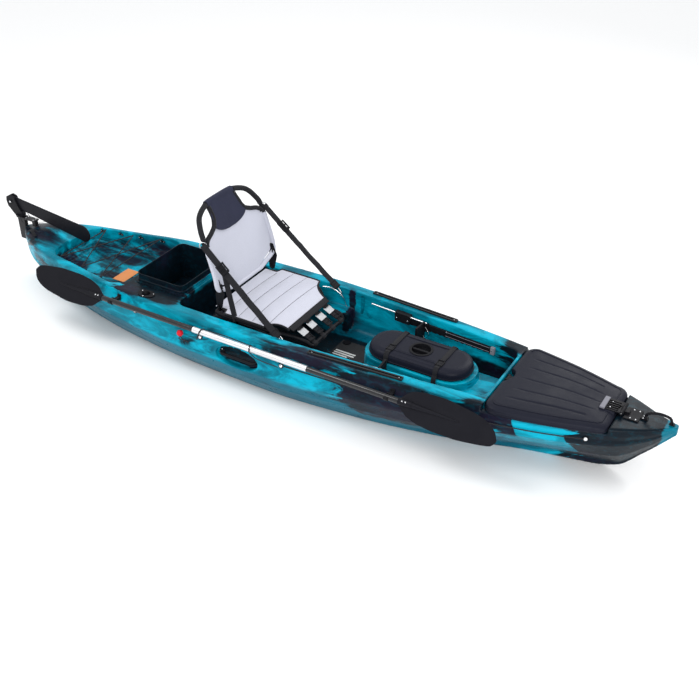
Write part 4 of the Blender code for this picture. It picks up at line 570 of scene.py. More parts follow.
def moulded_teal(looks):
    """Rotomoulded skin: bright teal clouded with near black, darkened with painted shade in its wells,
    recesses and underside, lightened with a painted pool of light on the cockpit's far wall, with a fine
    pebble.
    """
    f = Finish("Moulded teal", "moulded_teal", 0.34, **{"Specular IOR Level": 0.10})
    x, y, z = f.axis(0), f.axis(1), f.axis(2)
    wide = abs(y)
    drift = f.noise(2.3, 4, 0.6, f.place((0.6, 1.5, 1.5)), 1.2)
    smoke = f.noise(6.5, 6, 0.66, f.place((0.45, 1.2, 1.6)), 1.3)
    fleck = f.noise(26, 5, 0.7, f.place((0.6, 1.3, 1.3)), 1.5)
    near_side = f.step(y, -0.26, -0.32)
    inside = f.near(wide, 0, 0.332, 0.010)
    true_x, true_z = x, z
    x, z = x + (smoke - 0.5) * 0.45, z + (smoke - 0.5) * 0.10
    # Where the marbling gathers, and where painted shade darkens the wells, the recesses, the grooves and the
    # walls under the rails and beside the console, and how strongly, as in the photograph: from the tank well
    # to the bow.
    marble_and_shade_zones = (
        f.near(x, -1.29, 0.32, 0.08) * f.near(wide, 0, 0.300, 0.03) * f.near(z, 0.215, 0.030, 0.08) * 0.13,
        f.step(y, -0.06, -0.15) * f.near(x, -0.80, 0.16, 0.12) * f.step(z, 0.285, 0.31)
        * f.near(wide, 0.2, 0.10, 0.05) * 0.32,
        f.near(true_x, -0.785, 0.158, 0.006) * f.near(wide, 0, 0.196, 0.006) * f.step(true_z, 0.15, 0.16)
        * 0.40,
        f.step(x, -1.50, -1.80) * f.step(z, 0.20, 0.30) * 0.17,
        f.near(x, 0.30, 0.82, 0.06) * f.step(y, 0.22, 0.12) * inside * f.step(z, 0.080, 0.10)
        * f.step(z, 0.19, 0.12) * 0.46,
        f.near(x, 0.98, 0.16, 0.12) * f.step(y, 0.02, 0.12) * inside * f.step(z, 0.080, 0.10)
        * f.step(z, 0.27, 0.13) * 0.36,
        f.near(x, -0.60, 0.10, 0.12) * inside * f.step(z, 0.085, 0.10) * f.step(z, 0.34, 0.28) * 0.30,
        f.near(x, -0.20, 0.35, 0.10) * inside * f.step(z, 0.30, 0.20) * 0.10,
        f.near(true_x + (smoke - 0.5) * 0.08, 0.140, 0.010, 0.016) * f.near(y, 0.26, 0.05, 0.02)
        * f.near(z, 0.22, 0.09, 0.03) * 0.30,
        f.near(x, 0.69, 0.15, 0.14) * near_side * f.near(z, 0.22, 0.09, 0.05) * 0.27,
        f.near(x, 0.62, 0.55, 0.20) * near_side * f.step(z, 0.285, 0.310) * 0.15,
        f.near(x, -0.35, 0.07, 0.12) * near_side * f.near(z, 0.26, 0.05, 0.06) * 0.13,
        f.near(true_x, GRIP[0], 0.112, 0.022) * f.near(wide, 0.370, 0.016, 0.010)
        * f.near(true_z, GRIP[1], 0.038, 0.010) * 0.24,
        f.near(x, 1.22, 0.12, 0.10) * f.step(wide, 0.16, 0.24) * f.step(z, 0.16, 0.26) * 0.22,
        f.step(x, 1.44, 1.62) * 0.40)
    dark = marble_and_shade_zones[0]
    for zone in marble_and_shade_zones[1:]:
        dark = dark.largest(zone)
    x, z = true_x, true_z
    # The clear patch on the near side of the bow and the clear stem have no marbling. The clear stem is
    # widened over the highlight along the bow's deck edge, so part of its brightness is painted highlight.
    patch = f.near(x + z * 0.45, 1.54, 0.10, 0.012) * f.step(y, -0.10, -0.16) * f.near(z, 0.200, 0.085, 0.015)
    stem = f.step(x - z * 0.10, 1.860, 1.930)
    clear = patch.largest(stem)
    cloud = drift * 0.5 + smoke * 0.5 + 0.005
    amount = f.step(cloud + dark - clear * 0.6, 0.585, 0.70) * f.step(fleck, 0.25, 0.52, 0.80, 1.0)
    haze = f.step(drift * 0.5 + smoke * 0.5 + dark * 0.6, 0.46, 0.62) * 0.65
    # A painted pool of light lightens the cockpit's far wall.
    lit = f.near(x, 0.44, 0.26, 0.20) * f.step(y, 0.24, 0.29) * f.step(z, 0.31, 0.26)
    bright = f.mix(f.step(smoke - lit * 0.12, 0.40, 0.56), looks.hull_light, looks.hull_colour)
    # The underside, which faces down, is painted darker as shade; the same darker teal hazes the marbling and
    # the shaded zones.
    under = f.step(z, 0.178, 0.150) * f.step(wide + abs(x) * 0.02, 0.10, 0.14) * 0.85
    low = f.mix(under, bright, looks.hull_shade_and_haze)
    clouded = f.mix(haze - haze * patch, low, looks.hull_shade_and_haze)
    smoked = f.mix(f.step(drift, 0.5, 0.62), looks.hull_dark, looks.hull_violet)
    f.colour(f.mix(amount, clouded, smoked))
    f.vary("Roughness", f.step(fleck, 0.3, 0.7, looks.hull_gloss, looks.hull_gloss + 0.10))
    pebble = f.noise(700, 2, 0.5)
    ripple = f.noise(11, 2, 0.5)
    f.relief(pebble * 0.16 + ripple, 0.0012)
    return f


def tint(colour, share, more=0.0):
    """A colour made darker or lighter."""
    return tuple(min(1, share * c + more) for c in colour)


def plastic(name, slot, colour, roughness, grain=1400, depth=0.00015, shine=0.10):
    """Moulded plastic with a fine grain and faint scuffs."""
    f = Finish(name, slot, roughness, **{"Specular IOR Level": shine})
    cloud = f.noise(11, 4, 0.6)
    scuff = f.step(f.noise(70, 5, 0.7, f.place((1, 0.35, 1))), 0.60, 0.80)
    f.colour(f.mix(cloud * 0.5 + scuff * 0.5, colour, tint(colour, 1.4, 0.004)))
    f.vary("Roughness", f.step(cloud, 0.3, 0.7, roughness - 0.06, roughness + 0.08) + scuff * 0.06)
    f.relief(f.noise(grain, 2, 0.6), depth)
    return f


def brushed(name, slot, colour, roughness, metallic=1.0):
    """Drawn or turned metal with fine lines along the boat."""
    f = Finish(name, slot, roughness, metallic)
    grain = f.noise(260, 3, 0.6, f.place((0.08, 1, 1)))
    cloud = f.noise(6, 3, 0.5)
    f.colour(f.mix(cloud, colour, tint(colour, 0.8)))
    f.vary("Roughness", f.step(grain, 0.3, 0.7, roughness - 0.05, roughness + 0.09))
    f.relief(grain, 0.00002)
    return f


def rope(name, slot, colour, fleck, pitch=0.009):
    """Braided cord: its sheath's strands cross at a slant."""
    f = Finish(name, slot, 0.78, **{"Specular IOR Level": 0.2})
    x, y, z = f.axis(0), f.axis(1), f.axis(2)
    one = (x + y * 0.9 + z * 0.9).wave(pitch)
    two = (x - y * 0.9 - z * 0.9).wave(pitch)
    weave = one.largest(two)
    # The strands' crowns are painted in the lighter fleck colour as highlight.
    f.colour(f.mix(f.step(weave, 0.72, 0.95), colour, fleck))
    f.relief(weave + f.noise(800, 2) * 0.3, 0.0006)
    return f


def webbing(name, slot, colour, pitch=0.0016):
    """Woven strap: close ribs across it and fine threads along it."""
    f = Finish(name, slot, 0.85, **{"Sheen Weight": 0.05, "Specular IOR Level": 0.15})
    x, y, z = f.axis(0), f.axis(1), f.axis(2)
    ribs = (x + z * 0.8).wave(pitch * 1.6) * 0.6 + (y + z * 0.3).wave(pitch) * 0.4
    # The ribs' hollows are painted darker as shade and their crowns lighter as highlight.
    f.colour(f.mix(f.step(ribs, 0.2, 0.9), tint(colour, 0.55), tint(colour, 1.4)))
    f.relief(ribs + f.noise(500, 2) * 0.4, 0.0004)
    return f


def seat_mesh(looks):
    """Coated open weave: pale threads with small dark holes in rows."""
    f = Finish("Grey mesh cloth", "grey_mesh_cloth", 0.62, **{"Sheen Weight": 0.2})
    x, y, z = f.axis(0), f.axis(1), f.axis(2)
    run = x + z
    pitch = looks.weave_pitch
    cross = run.wave(pitch)
    other = (y + (run * (1 / pitch)).floor() * (pitch * 0.5)).wave(pitch)
    hole = f.step(cross * other, 0.60, 0.86)
    cloud = f.noise(5, 3, 0.5)
    thread = f.mix(cloud, looks.mesh_colour, tint(looks.mesh_colour, 0.86))
    # The holes are painted dark: openings in the weave, with the shade inside them painted in.
    f.colour(f.mix(hole * 0.62, thread, (0.10, 0.10, 0.13)))
    f.relief((1 - hole) + f.noise(700, 2) * 0.2, 0.0007)
    return f


def woven(name, slot, colour, pitch=0.0022, roughness=0.9):
    """Plain dense cloth."""
    f = Finish(name, slot, roughness, **{"Sheen Weight": 0.08, "Specular IOR Level": 0.2})
    x, y, z = f.axis(0), f.axis(1), f.axis(2)
    weave = (x + z).wave(pitch).largest(y.wave(pitch))
    cloud = f.noise(9, 4, 0.6)
    # The weave's raised crossings are painted lighter as highlight, over a random cloudy tone.
    f.colour(f.mix(cloud * 0.6 + weave * 0.3, tint(colour, 0.75), tint(colour, 1.6, 0.01)))
    f.relief(weave + cloud * 0.8, 0.0005)
    return f


def rubber(name, slot, colour):
    """Dull rubber with a little dust."""
    f = Finish(name, slot, 0.7, **{"Specular IOR Level": 0.15})
    dust = f.noise(40, 5, 0.7)
    f.colour(f.mix(dust, colour, tint(colour, 2.2, 0.01)))
    f.relief(f.noise(600, 3), 0.0002)
    return f


FINISHES = {}


def finish(key):
    """One of the kayak's finishes, made when it is first asked for.

    Each row is a maker, the material's name, its slot, colour and roughness, then what else the maker takes.
    """
    if key not in FINISHES:
        looks = bpy.context.scene.kayak_looks
        maker, *given = {
            "teal": (moulded_teal, looks),
            "black": (plastic, "Black plastic", "black_plastic", tuple(looks.black_colour), 0.42),
            "lid": (plastic, "Lid plastic", "lid_plastic", tuple(looks.lid_colour), 0.40, 900, 0.00025),
            "rubber": (rubber, "Black rubber", "black_rubber", (0.014, 0.014, 0.015)),
            "aluminium": (brushed, "Bare aluminium", "bare_aluminium", (0.88, 0.88, 0.90), 0.34),
            "anodised": (brushed, "Black anodised", "black_anodised", (0.025, 0.025, 0.028), 0.36, 0.7),
            "steel": (brushed, "Stainless steel", "stainless_steel", (0.66, 0.67, 0.69), 0.18),
            "mesh": (seat_mesh, looks),
            "navy": (woven, "Navy cloth", "navy_cloth", tuple(looks.headrest_colour)),
            "webbing": (webbing, "Black webbing", "black_webbing", (0.016, 0.016, 0.019)),
            "white_webbing": (webbing, "White webbing", "black_webbing", (0.55, 0.56, 0.58)),
            "cord": (rope, "Black cord", "black_cord", (0.013, 0.013, 0.015), (0.05, 0.05, 0.055)),
            "red": (plastic, "Red plastic", "red_plastic", (0.52, 0.012, 0.022), 0.30),
            "patch": (plastic, "Bare orange patch", "lid_plastic", (0.62, 0.24, 0.09), 0.5),
            "chrome": (brushed, "Polished steel", "stainless_steel", (0.90, 0.91, 0.93), 0.10),
            "blade": (plastic, "Blade plastic", "black_plastic", (0.006, 0.006, 0.009), 0.40, 1100, 0.0001),
            "shaft": (plastic, "Shaft sleeve", "black_plastic", (0.004, 0.004, 0.006), 0.20, 1800,
                      0.00004, 0.5),
            "thread": (woven, "Grey thread", "grey_mesh_cloth", (0.022, 0.022, 0.032), 0.0008),
            "grey": (plastic, "Grey trim", "lid_plastic", (0.18, 0.18, 0.21), 0.35),
            "pale": (plastic, "Pale strip", "lid_plastic", (0.52, 0.53, 0.52), 0.55),
        }[key]
        FINISHES[key] = maker(*given)
    return FINISHES[key]


class KayakLooks(bpy.types.PropertyGroup):
    """Sizes and colours that a user of the kayak would change."""

    hull_colour: FloatVectorProperty(
        name="Hull", description="Bright colour of the moulded hull", subtype="COLOR",
        default=(0.0, 0.215, 0.300), min=0, max=1)
    hull_light: FloatVectorProperty(
        name="Hull light", description="Lightest colour of the hull", subtype="COLOR",
        default=(0.0, 0.37, 0.52), min=0, max=1)
    # Darker teal: painted shade on the underside that faces down, and the haze of the marbling and of the
    # shaded zones.
    hull_shade_and_haze: FloatVectorProperty(
        name="Hull low", description="Colour of the hull under its waterline", subtype="COLOR",
        default=(0.0, 0.085, 0.135), min=0, max=1)
    # Also the near black of the painted shade in the wells and recesses.
    hull_dark: FloatVectorProperty(
        name="Hull marble", description="Dark marbling of the hull", subtype="COLOR",
        default=(0.003, 0.007, 0.012), min=0, max=1)
    hull_violet: FloatVectorProperty(
        name="Hull violet", description="Violet part of the marbling", subtype="COLOR",
        default=(0.009, 0.008, 0.020), min=0, max=1)
    hull_gloss: FloatProperty(
        name="Hull roughness", description="Lowest roughness of the hull", default=0.26, min=0.05, max=1,
        subtype="FACTOR")
    black_colour: FloatVectorProperty(
        name="Fittings", description="Colour of the black fittings", subtype="COLOR",
        default=(0.006, 0.006, 0.008), min=0, max=1)
    lid_colour: FloatVectorProperty(
        name="Lids", description="Colour of the hatch and console lids", subtype="COLOR",
        default=(0.009, 0.010, 0.018), min=0, max=1)
    mesh_colour: FloatVectorProperty(
        name="Seat mesh", description="Colour of the seat's mesh", subtype="COLOR",
        default=(0.56, 0.57, 0.66), min=0, max=1)
    headrest_colour: FloatVectorProperty(
        name="Headrest", description="Colour of the headrest's cloth", subtype="COLOR",
        default=(0.010, 0.012, 0.032), min=0, max=1)
    seat_channels: IntProperty(
        name="Seat channels", description="Sewn channels across the seat's pan", default=5, min=2, max=12)
    strap_width: FloatProperty(
        name="Strap width", description="Width of the seat's side straps", unit="LENGTH", default=0.033,
        min=0.01, max=0.05)
    cloth_pull: FloatProperty(
        name="Cloth pulls", description="Height of the faint ripples in the stretched cloth", unit="LENGTH",
        default=0.0005, min=0, max=0.005)
    weave_pitch: FloatProperty(
        name="Weave", description="Distance between the mesh's rows of holes", unit="LENGTH", default=0.0042,
        min=0.002, max=0.02)
    voxel: FloatProperty(
        name="Moulding fineness", description="Size of the cells that round the moulded hull", unit="LENGTH",
        default=0.0045, min=0.003, max=0.02)
    screw_head: FloatProperty(
        name="Screw head", description="Diameter of the fittings' screw heads", unit="LENGTH",
        default=0.0085, min=0.004, max=0.02)
    light: FloatProperty(
        name="Light", description="Power of the studio lights as a share of the usual", default=1.0, min=0,
        max=5)


def dressed(name, key, width=0.0008, angle=35, segments=2):
    """A welded copy of a CAD piece, with rounded edges and its finish, shown in its place."""
    obj = link("dressed_" + name, NODES[name].data.copy())
    rounded(obj, width, angle, segments)
    finish(key).put_on(obj)
    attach(obj, NODES[name]["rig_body"])
    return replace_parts(obj, name)


def finished(obj, name, key, body, *nodes):
    """Name a made piece, give it its finish and a body if one is given, and let it stand for CAD nodes."""
    obj.name = name
    obj.data.name = name
    finish(key).put_on(obj)
    if body:
        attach(obj, body)
    if nodes:
        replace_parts(obj, *nodes)
    return obj


def cockpit_space():
    """The cockpit, less its seat ledges, the console's pedestal and the pedestal's neck."""
    levels = [(ABOVE, 0), (0.26, 0.006), (0.15, 0.018), (0.124, 0.034), (0.114, 0.046),
              (COCKPIT_FLOOR, 0.060)]
    space = well(COCKPIT, rim_half, COCKPIT_CORNER, levels)
    ledges = []
    for side in (-1, 1):
        low, high = sorted((side * SEAT_LEDGE_INNER, side * BEAM))
        ledges.append(block((SEAT_LEDGE[0], low, 0), (SEAT_LEDGE[1], high, SEAT_LEDGE_TOP)))
    pedestal = well((CONSOLE[0] - 0.012, CONSOLE[1] + 0.012), console_half, CONSOLE_CORNER,
                    [(PEDESTAL_TOP, -0.012), (0, -0.028)])
    return cut(space, *ledges, pedestal, block((CONSOLE_X, -0.100, 0), (BOW, 0.100, 0.220)))


def hull_body():
    """The moulded hull as one closed body, with every well, recess, pocket and drain hole."""
    xs = [STERN + LENGTH * (0.5 - 0.5 * math.cos(math.pi * i / 119)) for i in range(120)]
    hull = skin([hull_ring(x) for x in xs])
    shelf = hatch_shelf()
    tank = well(TANK, tank_half, TANK_CORNER, [
        (ABOVE, 0), (0.30, 0.002), (TANK_LEDGE + 0.012, 0.012), (TANK_LEDGE, 0.020), (TANK_LEDGE, 0.044),
        (TANK_FLOOR + 0.006, 0.050), (TANK_FLOOR, 0.060)])
    bin_hole = well(BIN, bin_half, BIN_CORNER, [(ABOVE, -WELL_GAP), (BIN_BOTTOM - WELL_GAP, -WELL_GAP)])
    lip = -BIN_LIP - WELL_GAP
    bin_ledge = well(BIN, bin_half, BIN_CORNER, [(ABOVE, lip), (bin_seat(), lip)])
    rim = POD_INSET - WELL_GAP
    pod = well(CONSOLE, console_half, CONSOLE_CORNER,
               [(ABOVE, rim), (PEDESTAL_TOP - POD_DEPTH - WELL_GAP, rim)])
    deck_step = block((HATCH[0] - 0.004, -BEAM, shelf), (HATCH[1] + 0.004, BEAM, ABOVE))
    tools = [cockpit_space(), tank, bin_hole, bin_ledge, pod, deck_step]
    for side in (-1, 1):
        wall = chine_half(GRIP[0]) - GRIP_DEPTH
        pocket = rod((GRIP[0], side * wall, GRIP[1]), (GRIP[0], side * BEAM, GRIP[1]), 1, 48)
        for vertex in pocket.data.vertices:
            vertex.co.x = GRIP[0] + (vertex.co.x - GRIP[0]) * GRIP_HALF_LENGTH
            vertex.co.z = GRIP[1] + (vertex.co.z - GRIP[1]) * GRIP_HALF_HEIGHT
        top = Vector((ROD_PLACE[0], side * ROD_PLACE[1], gunwale_height(ROD_PLACE[0])))
        down = Vector((math.sin(ROD_TILT), 0, -math.cos(ROD_TILT)))
        tools += [pocket, rod(top - 0.05 * down, top + 0.20 * down, ROD_HOLE)]
    tools += [rod((x, y, -0.05), (x, y, 0.3), SCUPPER_RADIUS) for x, y in SCUPPERS]
    cut(hull, *tools)
    fuse(hull, well(HATCH, hatch_half, HATCH_CORNER, [(shelf + 0.018, 0.040), (shelf - 0.003, 0.040)]))
    hold = skin([hull_ring(1.15 + 0.62 * i / 24, WALL) for i in range(25)])
    cut(hold, block((1, -BEAM, shelf - WALL), (BOW, BEAM, 1)))
    cut(hull, hold, well(HATCH, hatch_half, HATCH_CORNER, [(ABOVE, 0.046), (shelf - 0.03, 0.046)]))
    return hull


def melted(obj, voxel, most):
    """Round every edge of a body as moulding does: small cells, smoothing, then fewer faces."""
    cells = obj.modifiers.new("cells", "REMESH")
    cells.mode = "VOXEL"
    cells.voxel_size = voxel
    soft = obj.modifiers.new("soft", "SMOOTH")
    soft.factor = 0.5
    soft.iterations = 3
    settle(obj)
    triangles = 2 * len(obj.data.polygons)
    if triangles > most:
        fewer = obj.modifiers.new("fewer", "DECIMATE")
        fewer.ratio = most / triangles
        settle(obj)
    obj.data.shade_smooth()
    return obj


class Pattern:
    """A geometry node tree with named sizes, built with the same Python sums as a finish."""

    node = Finish.node

    def __init__(self, name, **sizes):
        self.tree = bpy.data.node_groups.new(name, "GeometryNodeTree")
        self.tree.interface.new_socket("Geometry", in_out="INPUT", socket_type="NodeSocketGeometry")
        for key, value in sizes.items():
            size = self.tree.interface.new_socket(key, in_out="INPUT", socket_type="NodeSocketFloat")
            size.default_value = value
        self.tree.interface.new_socket("Finish", in_out="INPUT", socket_type="NodeSocketMaterial")
        self.tree.interface.new_socket("Geometry", in_out="OUTPUT", socket_type="NodeSocketGeometry")
        self.start = self.tree.nodes.new("NodeGroupInput")

    def given(self, name):
        return Socket(self, self.start.outputs[name])

    def facing(self, axis, direction):
        return self.node("FunctionNodeAlignRotationToVector", {"axis": axis}, {"Vector": direction})

    def close(self, geometry):
        """End the tree with its geometry as real faces, in the finish that it is given."""
        real = self.node("GeometryNodeRealizeInstances", values=(geometry,))
        painted = self.node("GeometryNodeSetMaterial",
                            values={"Geometry": real, "Material": self.given("Finish")})
        end = self.tree.nodes.new("NodeGroupOutput")
        self.tree.links.new(painted.output, end.inputs[0])
        return self

    def on(self, obj, key, **sizes):
        """Grow the pattern on a mesh's points or edges, in a finish, and keep it as plain faces."""
        step = obj.modifiers.new(self.tree.name, "NODES")
        step.node_group = self.tree
        for item in self.tree.interface.items_tree:
            if item.in_out == "INPUT" and item.name in sizes:
                step[item.identifier] = sizes[item.name]
            elif item.name == "Finish":
                step[item.identifier] = finish(key).material
        return shaded(settle(obj), 50)


def screw_heads():
    """Domed screw heads with a cross recess, turned to face as each point says."""
    p = Pattern("Screw heads", Diameter=0.0085)
    radius = p.given("Diameter") * 0.5
    dome = p.node("GeometryNodeMeshUVSphere", values={"Segments": 20, "Rings": 10, "Radius": radius})
    head = p.node("GeometryNodeTransform", values={"Geometry": dome, "Scale": (1, 1, 0.5)})
    bars = []
    for wide, deep in ((1.1, 0.26), (0.26, 1.1)):
        size = p.node("ShaderNodeCombineXYZ", values=(radius * wide, radius * deep, radius * 0.5))
        bar = p.node("GeometryNodeMeshCube", values={"Size": size})
        lift = p.node("ShaderNodeCombineXYZ", values=(0.0, 0.0, radius * 0.5))
        bars.append(p.node("GeometryNodeTransform", values={"Geometry": bar, "Translation": lift}))
    recess = p.node("GeometryNodeJoinGeometry", values=(bars[0],))
    p.tree.links.new(bars[1].output, recess.output.node.inputs[0])
    screw = p.node("GeometryNodeMeshBoolean", {"operation": "DIFFERENCE"}, {"Mesh 1": head})
    p.tree.links.new(recess.output, screw.output.node.inputs["Mesh 2"])
    facing = p.node("GeometryNodeInputNamedAttribute", {"data_type": "FLOAT_VECTOR"}, {"Name": "facing"})
    return p.close(p.node("GeometryNodeInstanceOnPoints", values={
        "Points": p.given("Geometry"), "Instance": screw, "Rotation": p.facing("Z", facing)}))


def stitches():
    """Short raised threads set end to end along an edge line."""
    p = Pattern("Stitches", Pitch=0.006, Thread=0.0009)
    line_of = p.node("GeometryNodeMeshToCurve", values=(p.given("Geometry"),))
    spaced = p.node("GeometryNodeResampleCurve", {"mode": "LENGTH"},
                    {"Curve": line_of, "Length": p.given("Pitch")})
    ball = p.node("GeometryNodeMeshUVSphere", values={"Segments": 6, "Rings": 4, "Radius": p.given("Thread")})
    thread = p.node("GeometryNodeTransform", values={"Geometry": ball, "Scale": (2.4, 1, 0.8)})
    run = p.node("GeometryNodeInputTangent")
    return p.close(p.node("GeometryNodeInstanceOnPoints", values={
        "Points": spaced, "Instance": thread, "Rotation": p.facing("X", run)}))


def laid_rope():
    """Three strands laid round each other along an edge line."""
    p = Pattern("Laid rope", Radius=0.003, Lay=0.026)
    line_of = p.node("GeometryNodeMeshToCurve", values=(p.given("Geometry"),))
    spaced = p.node("GeometryNodeResampleCurve", {"mode": "LENGTH"}, {"Curve": line_of, "Length": 0.0022})
    along = p.node("GeometryNodeSplineParameter", output="Length")
    turned = p.node("GeometryNodeSetCurveTilt", values={
        "Curve": spaced, "Tilt": along / p.given("Lay") * math.tau})
    strands = p.node("GeometryNodeCurveStar", values={
        "Points": 3, "Inner Radius": p.given("Radius") * 0.62, "Outer Radius": p.given("Radius")})
    return p.close(p.node("GeometryNodeCurveToMesh", values={
        "Curve": turned, "Profile Curve": strands, "Fill Caps": True}))


PATTERNS = {}


def pattern(make):
    """A geometry node tree, made when it is first asked for."""
    if make not in PATTERNS:
        PATTERNS[make] = make()
    return PATTERNS[make]


def points_facing(spots):
    """A mesh of loose points, each with the way it faces."""
    mesh = bpy.data.meshes.new("spots")
    mesh.from_pydata([tuple(place) for place, facing in spots], [], [])
    ways = mesh.attributes.new("facing", "FLOAT_VECTOR", "POINT")
    for i, (place, facing) in enumerate(spots):
        ways.data[i].vector = Vector(facing).normalized()
    return link("spots", mesh)


def edge_line(points, closed=False):
    mesh = bpy.data.meshes.new("line")
    count = len(points)
    edges = [(i, (i + 1) % count) for i in range(count if closed else count - 1)]
    mesh.from_pydata([tuple(p) for p in points], edges, [])
    return link("line", mesh)


def screws(name, body, spots, diameter=None, key="steel"):
    """Screw heads at (place, facing) spots on one body."""
    size = bpy.context.scene.kayak_looks.screw_head if diameter is None else diameter
    made = pattern(screw_heads).on(points_facing(spots), key, Diameter=size)
    return finished(made, name, key, body)


def ribbon(points, across, width, thickness=0.0018):
    """Flat webbing along points, with rounded edges; across is one direction, or one for each point."""
    rings = []
    for i, point in enumerate(points):
        point = Vector(point)
        run = (Vector(points[min(i + 1, len(points) - 1)]) - Vector(points[max(i - 1, 0)])).normalized()
        side = Vector(across[i] if isinstance(across, list) else across)
        side = (side - run * side.dot(run)).normalized()
        up = side.cross(run)
        w, t = width / 2, thickness / 2
        ring = [(-w, -0.4 * t), (-w + t, -t), (w - t, -t), (w, -0.4 * t),
                (w, 0.4 * t), (w - t, t), (-w + t, t), (-w, 0.4 * t)]
        rings.append([point + side * u + up * v for u, v in ring])
    return shaded(skin(rings), 60)


def slab(outline, y0, y1):
    """A flat plate that stands fore and aft: an outline in x and z between two values of y."""
    return skin([[(x, y, z) for x, z in outline] for y in sorted((y0, y1))])


def ladder_lock(middle, run, across, width, reach=0.021):
    """A strap adjuster: two rails, three bars and a raised lip."""
    run, across = Vector(run).normalized(), Vector(across).normalized()
    up = across.cross(run)
    middle = Vector(middle)
    thick = 0.16 * reach
    bars = [rod(middle + run * d - across * width / 2, middle + run * d + across * width / 2, 0.8 * thick, 16)
            for d in (-0.8 * reach, 0, 0.8 * reach)]
    rails = [rod(middle - run * reach + across * s * width / 2, middle + run * reach + across * s * width / 2,
                 thick, 16) for s in (-1, 1)]
    lip = rod(middle + run * reach + up * 0.004 - across * width / 2,
              middle + run * reach + up * 0.004 + across * width / 2, 1.1 * thick, 16)
    return shaded(joined("lock", [*bars, *rails, lip]), 45)


def ring_of(middle, axis, radius, thick, stretch=1.0):
    """A round or oval wire ring."""
    turn = Vector(axis).to_track_quat("Z", "Y")
    points = []
    for i in range(36):
        a = math.tau * i / 36
        out = Vector((radius * math.cos(a), stretch * radius * math.sin(a), 0))
        points.append(Vector(middle) + turn @ out)
    return tube(points, thick, 12, True)


# The seat's lines, as the part's source gives them.
BACK = (0.427, 0.858)
RING_HEIGHT = 0.720
NECK = (0.128, 0.757)
PAN_HALF = rim_half(-0.385) - 0.0285
BACK_HALF = PAN_HALF - 0.016
BACK_RING_HALF = BACK_HALF - 0.004
BACK_ARM_Y = PAN_HALF - 0.024
PLATE_Y = BACK_ARM_Y + 0.0038
HINGE = (-0.345, 0.372)
FRAME_RADIUS = 0.0112
TUBE_RADIUS = 0.011
SEAT = (-0.385, -0.050, 0.045)
SEAT_BAR = (0.161, 0.238)
SEAT_HEIGHT, NOSE_HEIGHT = 0.358, 0.318
LEDGE = SEAT_LEDGE_TOP + REST_GAP
PAN_MARGIN = 0.0015
PAN_SAG = 0.016


def back_x(z):
    """Middle plane of the seat back: upright below, curving aft towards its top."""
    s = (z - BACK[0]) / (BACK[1] - BACK[0])
    return -0.331 - 0.060 * s - 0.100 * s ** 3


def back_dish(y, z):
    s = min(1, max(0, (z - BACK[0]) / (BACK[1] - BACK[0])))
    return 0.026 * math.sin(math.pi * s) ** 2 * (1 - min(1, abs(y) / BACK_HALF) ** 2)


def loop_points(steps):
    """Centre line of the back's tube loop, from the bottom centre round to port and back."""
    ring = BACK_RING_HALF
    right = [(0.115, BACK[0]), (BACK_HALF - 0.030, BACK[0] + 0.031), (BACK_HALF, BACK[0] + 0.052),
             (BACK_HALF + 0.001, BACK[0] + 0.130), (ring, RING_HEIGHT), (ring - 0.014, BACK[1] - 0.083),
             (ring - 0.052, BACK[1] - 0.034), (0.122, BACK[1] - 0.007), (0.060, BACK[1])]
    side = curve_points([(back_x(z), y, z) for y, z in right], steps)
    return side + [Vector((p.x, -p.y, p.z)) for p in side[::-1]]


EDGE_HEIGHTS = (BACK[0] + 0.0115, BACK[0] + 0.035, BACK[0] + 0.062, BACK[0] + 0.150, RING_HEIGHT - 0.020,
                RING_HEIGHT, RING_HEIGHT + 0.015, NECK[1], BACK[1] - 0.060, BACK[1] - 0.014)
EDGE_HALVES = (0.105, BACK_HALF - 0.074, BACK_HALF - 0.0133, BACK_HALF - 0.0123, BACK_HALF - 0.0153,
               BACK_HALF - 0.0373, NECK[0] + 0.040, NECK[0], 0.108, 0.104)


def back_edge(z):
    """Half breadth of the mesh panel, narrowing between the two hand holes."""
    low, high = EDGE_HEIGHTS[0], EDGE_HEIGHTS[-1]
    return cubic([(h - low) / (high - low) for h in EDGE_HEIGHTS], EDGE_HALVES, (z - low) / (high - low))


def headrest_half(z):
    if z < NECK[1]:
        return max(0.012, (NECK[0] + 0.002) * math.sqrt(max(0, 1 - ((NECK[1] - z) / 0.0485) ** 2)))
    return NECK[0] + 0.002 - (NECK[0] - 0.106) * (z - NECK[1]) / (BACK[1] - NECK[1])


def cloth_sheet(heights, half, thickness, lift, columns=36, crease=0.0, wrap=()):
    """A thin dished cloth panel with faint pulls across it; wrap gives its turns round the top tube."""
    rings = []
    for z in heights:
        front, back = [], []
        for i in range(columns + 1):
            u = -1 + 2 * i / columns
            y = half(z) * u
            pull = (crease * math.sin(31 * z + 3 * u * u) * (1 - u * u)
                    + 0.5 * crease * math.sin(90 * z * (0.4 + u * u)))
            x = back_x(z) - back_dish(y, z) + lift + pull
            front.append((x + thickness / 2, y, z))
            back.append((x - thickness / 2, y, z))
        rings.append(front + back[::-1])
    for degrees in wrap:
        out = Vector((math.cos(math.radians(degrees)), 0, math.sin(math.radians(degrees))))
        row = [Vector((back_x(BACK[1]), half(BACK[1]) * u, BACK[1] - 0.004 * u ** 4))
               for u in clear_rows(-1, 1, columns + 1)]
        rings.append([p + out * (FRAME_RADIUS + 0.0052) for p in row]
                     + [p + out * (FRAME_RADIUS + 0.0012) for p in row[::-1]])
    return shaded(skin(rings), 60)


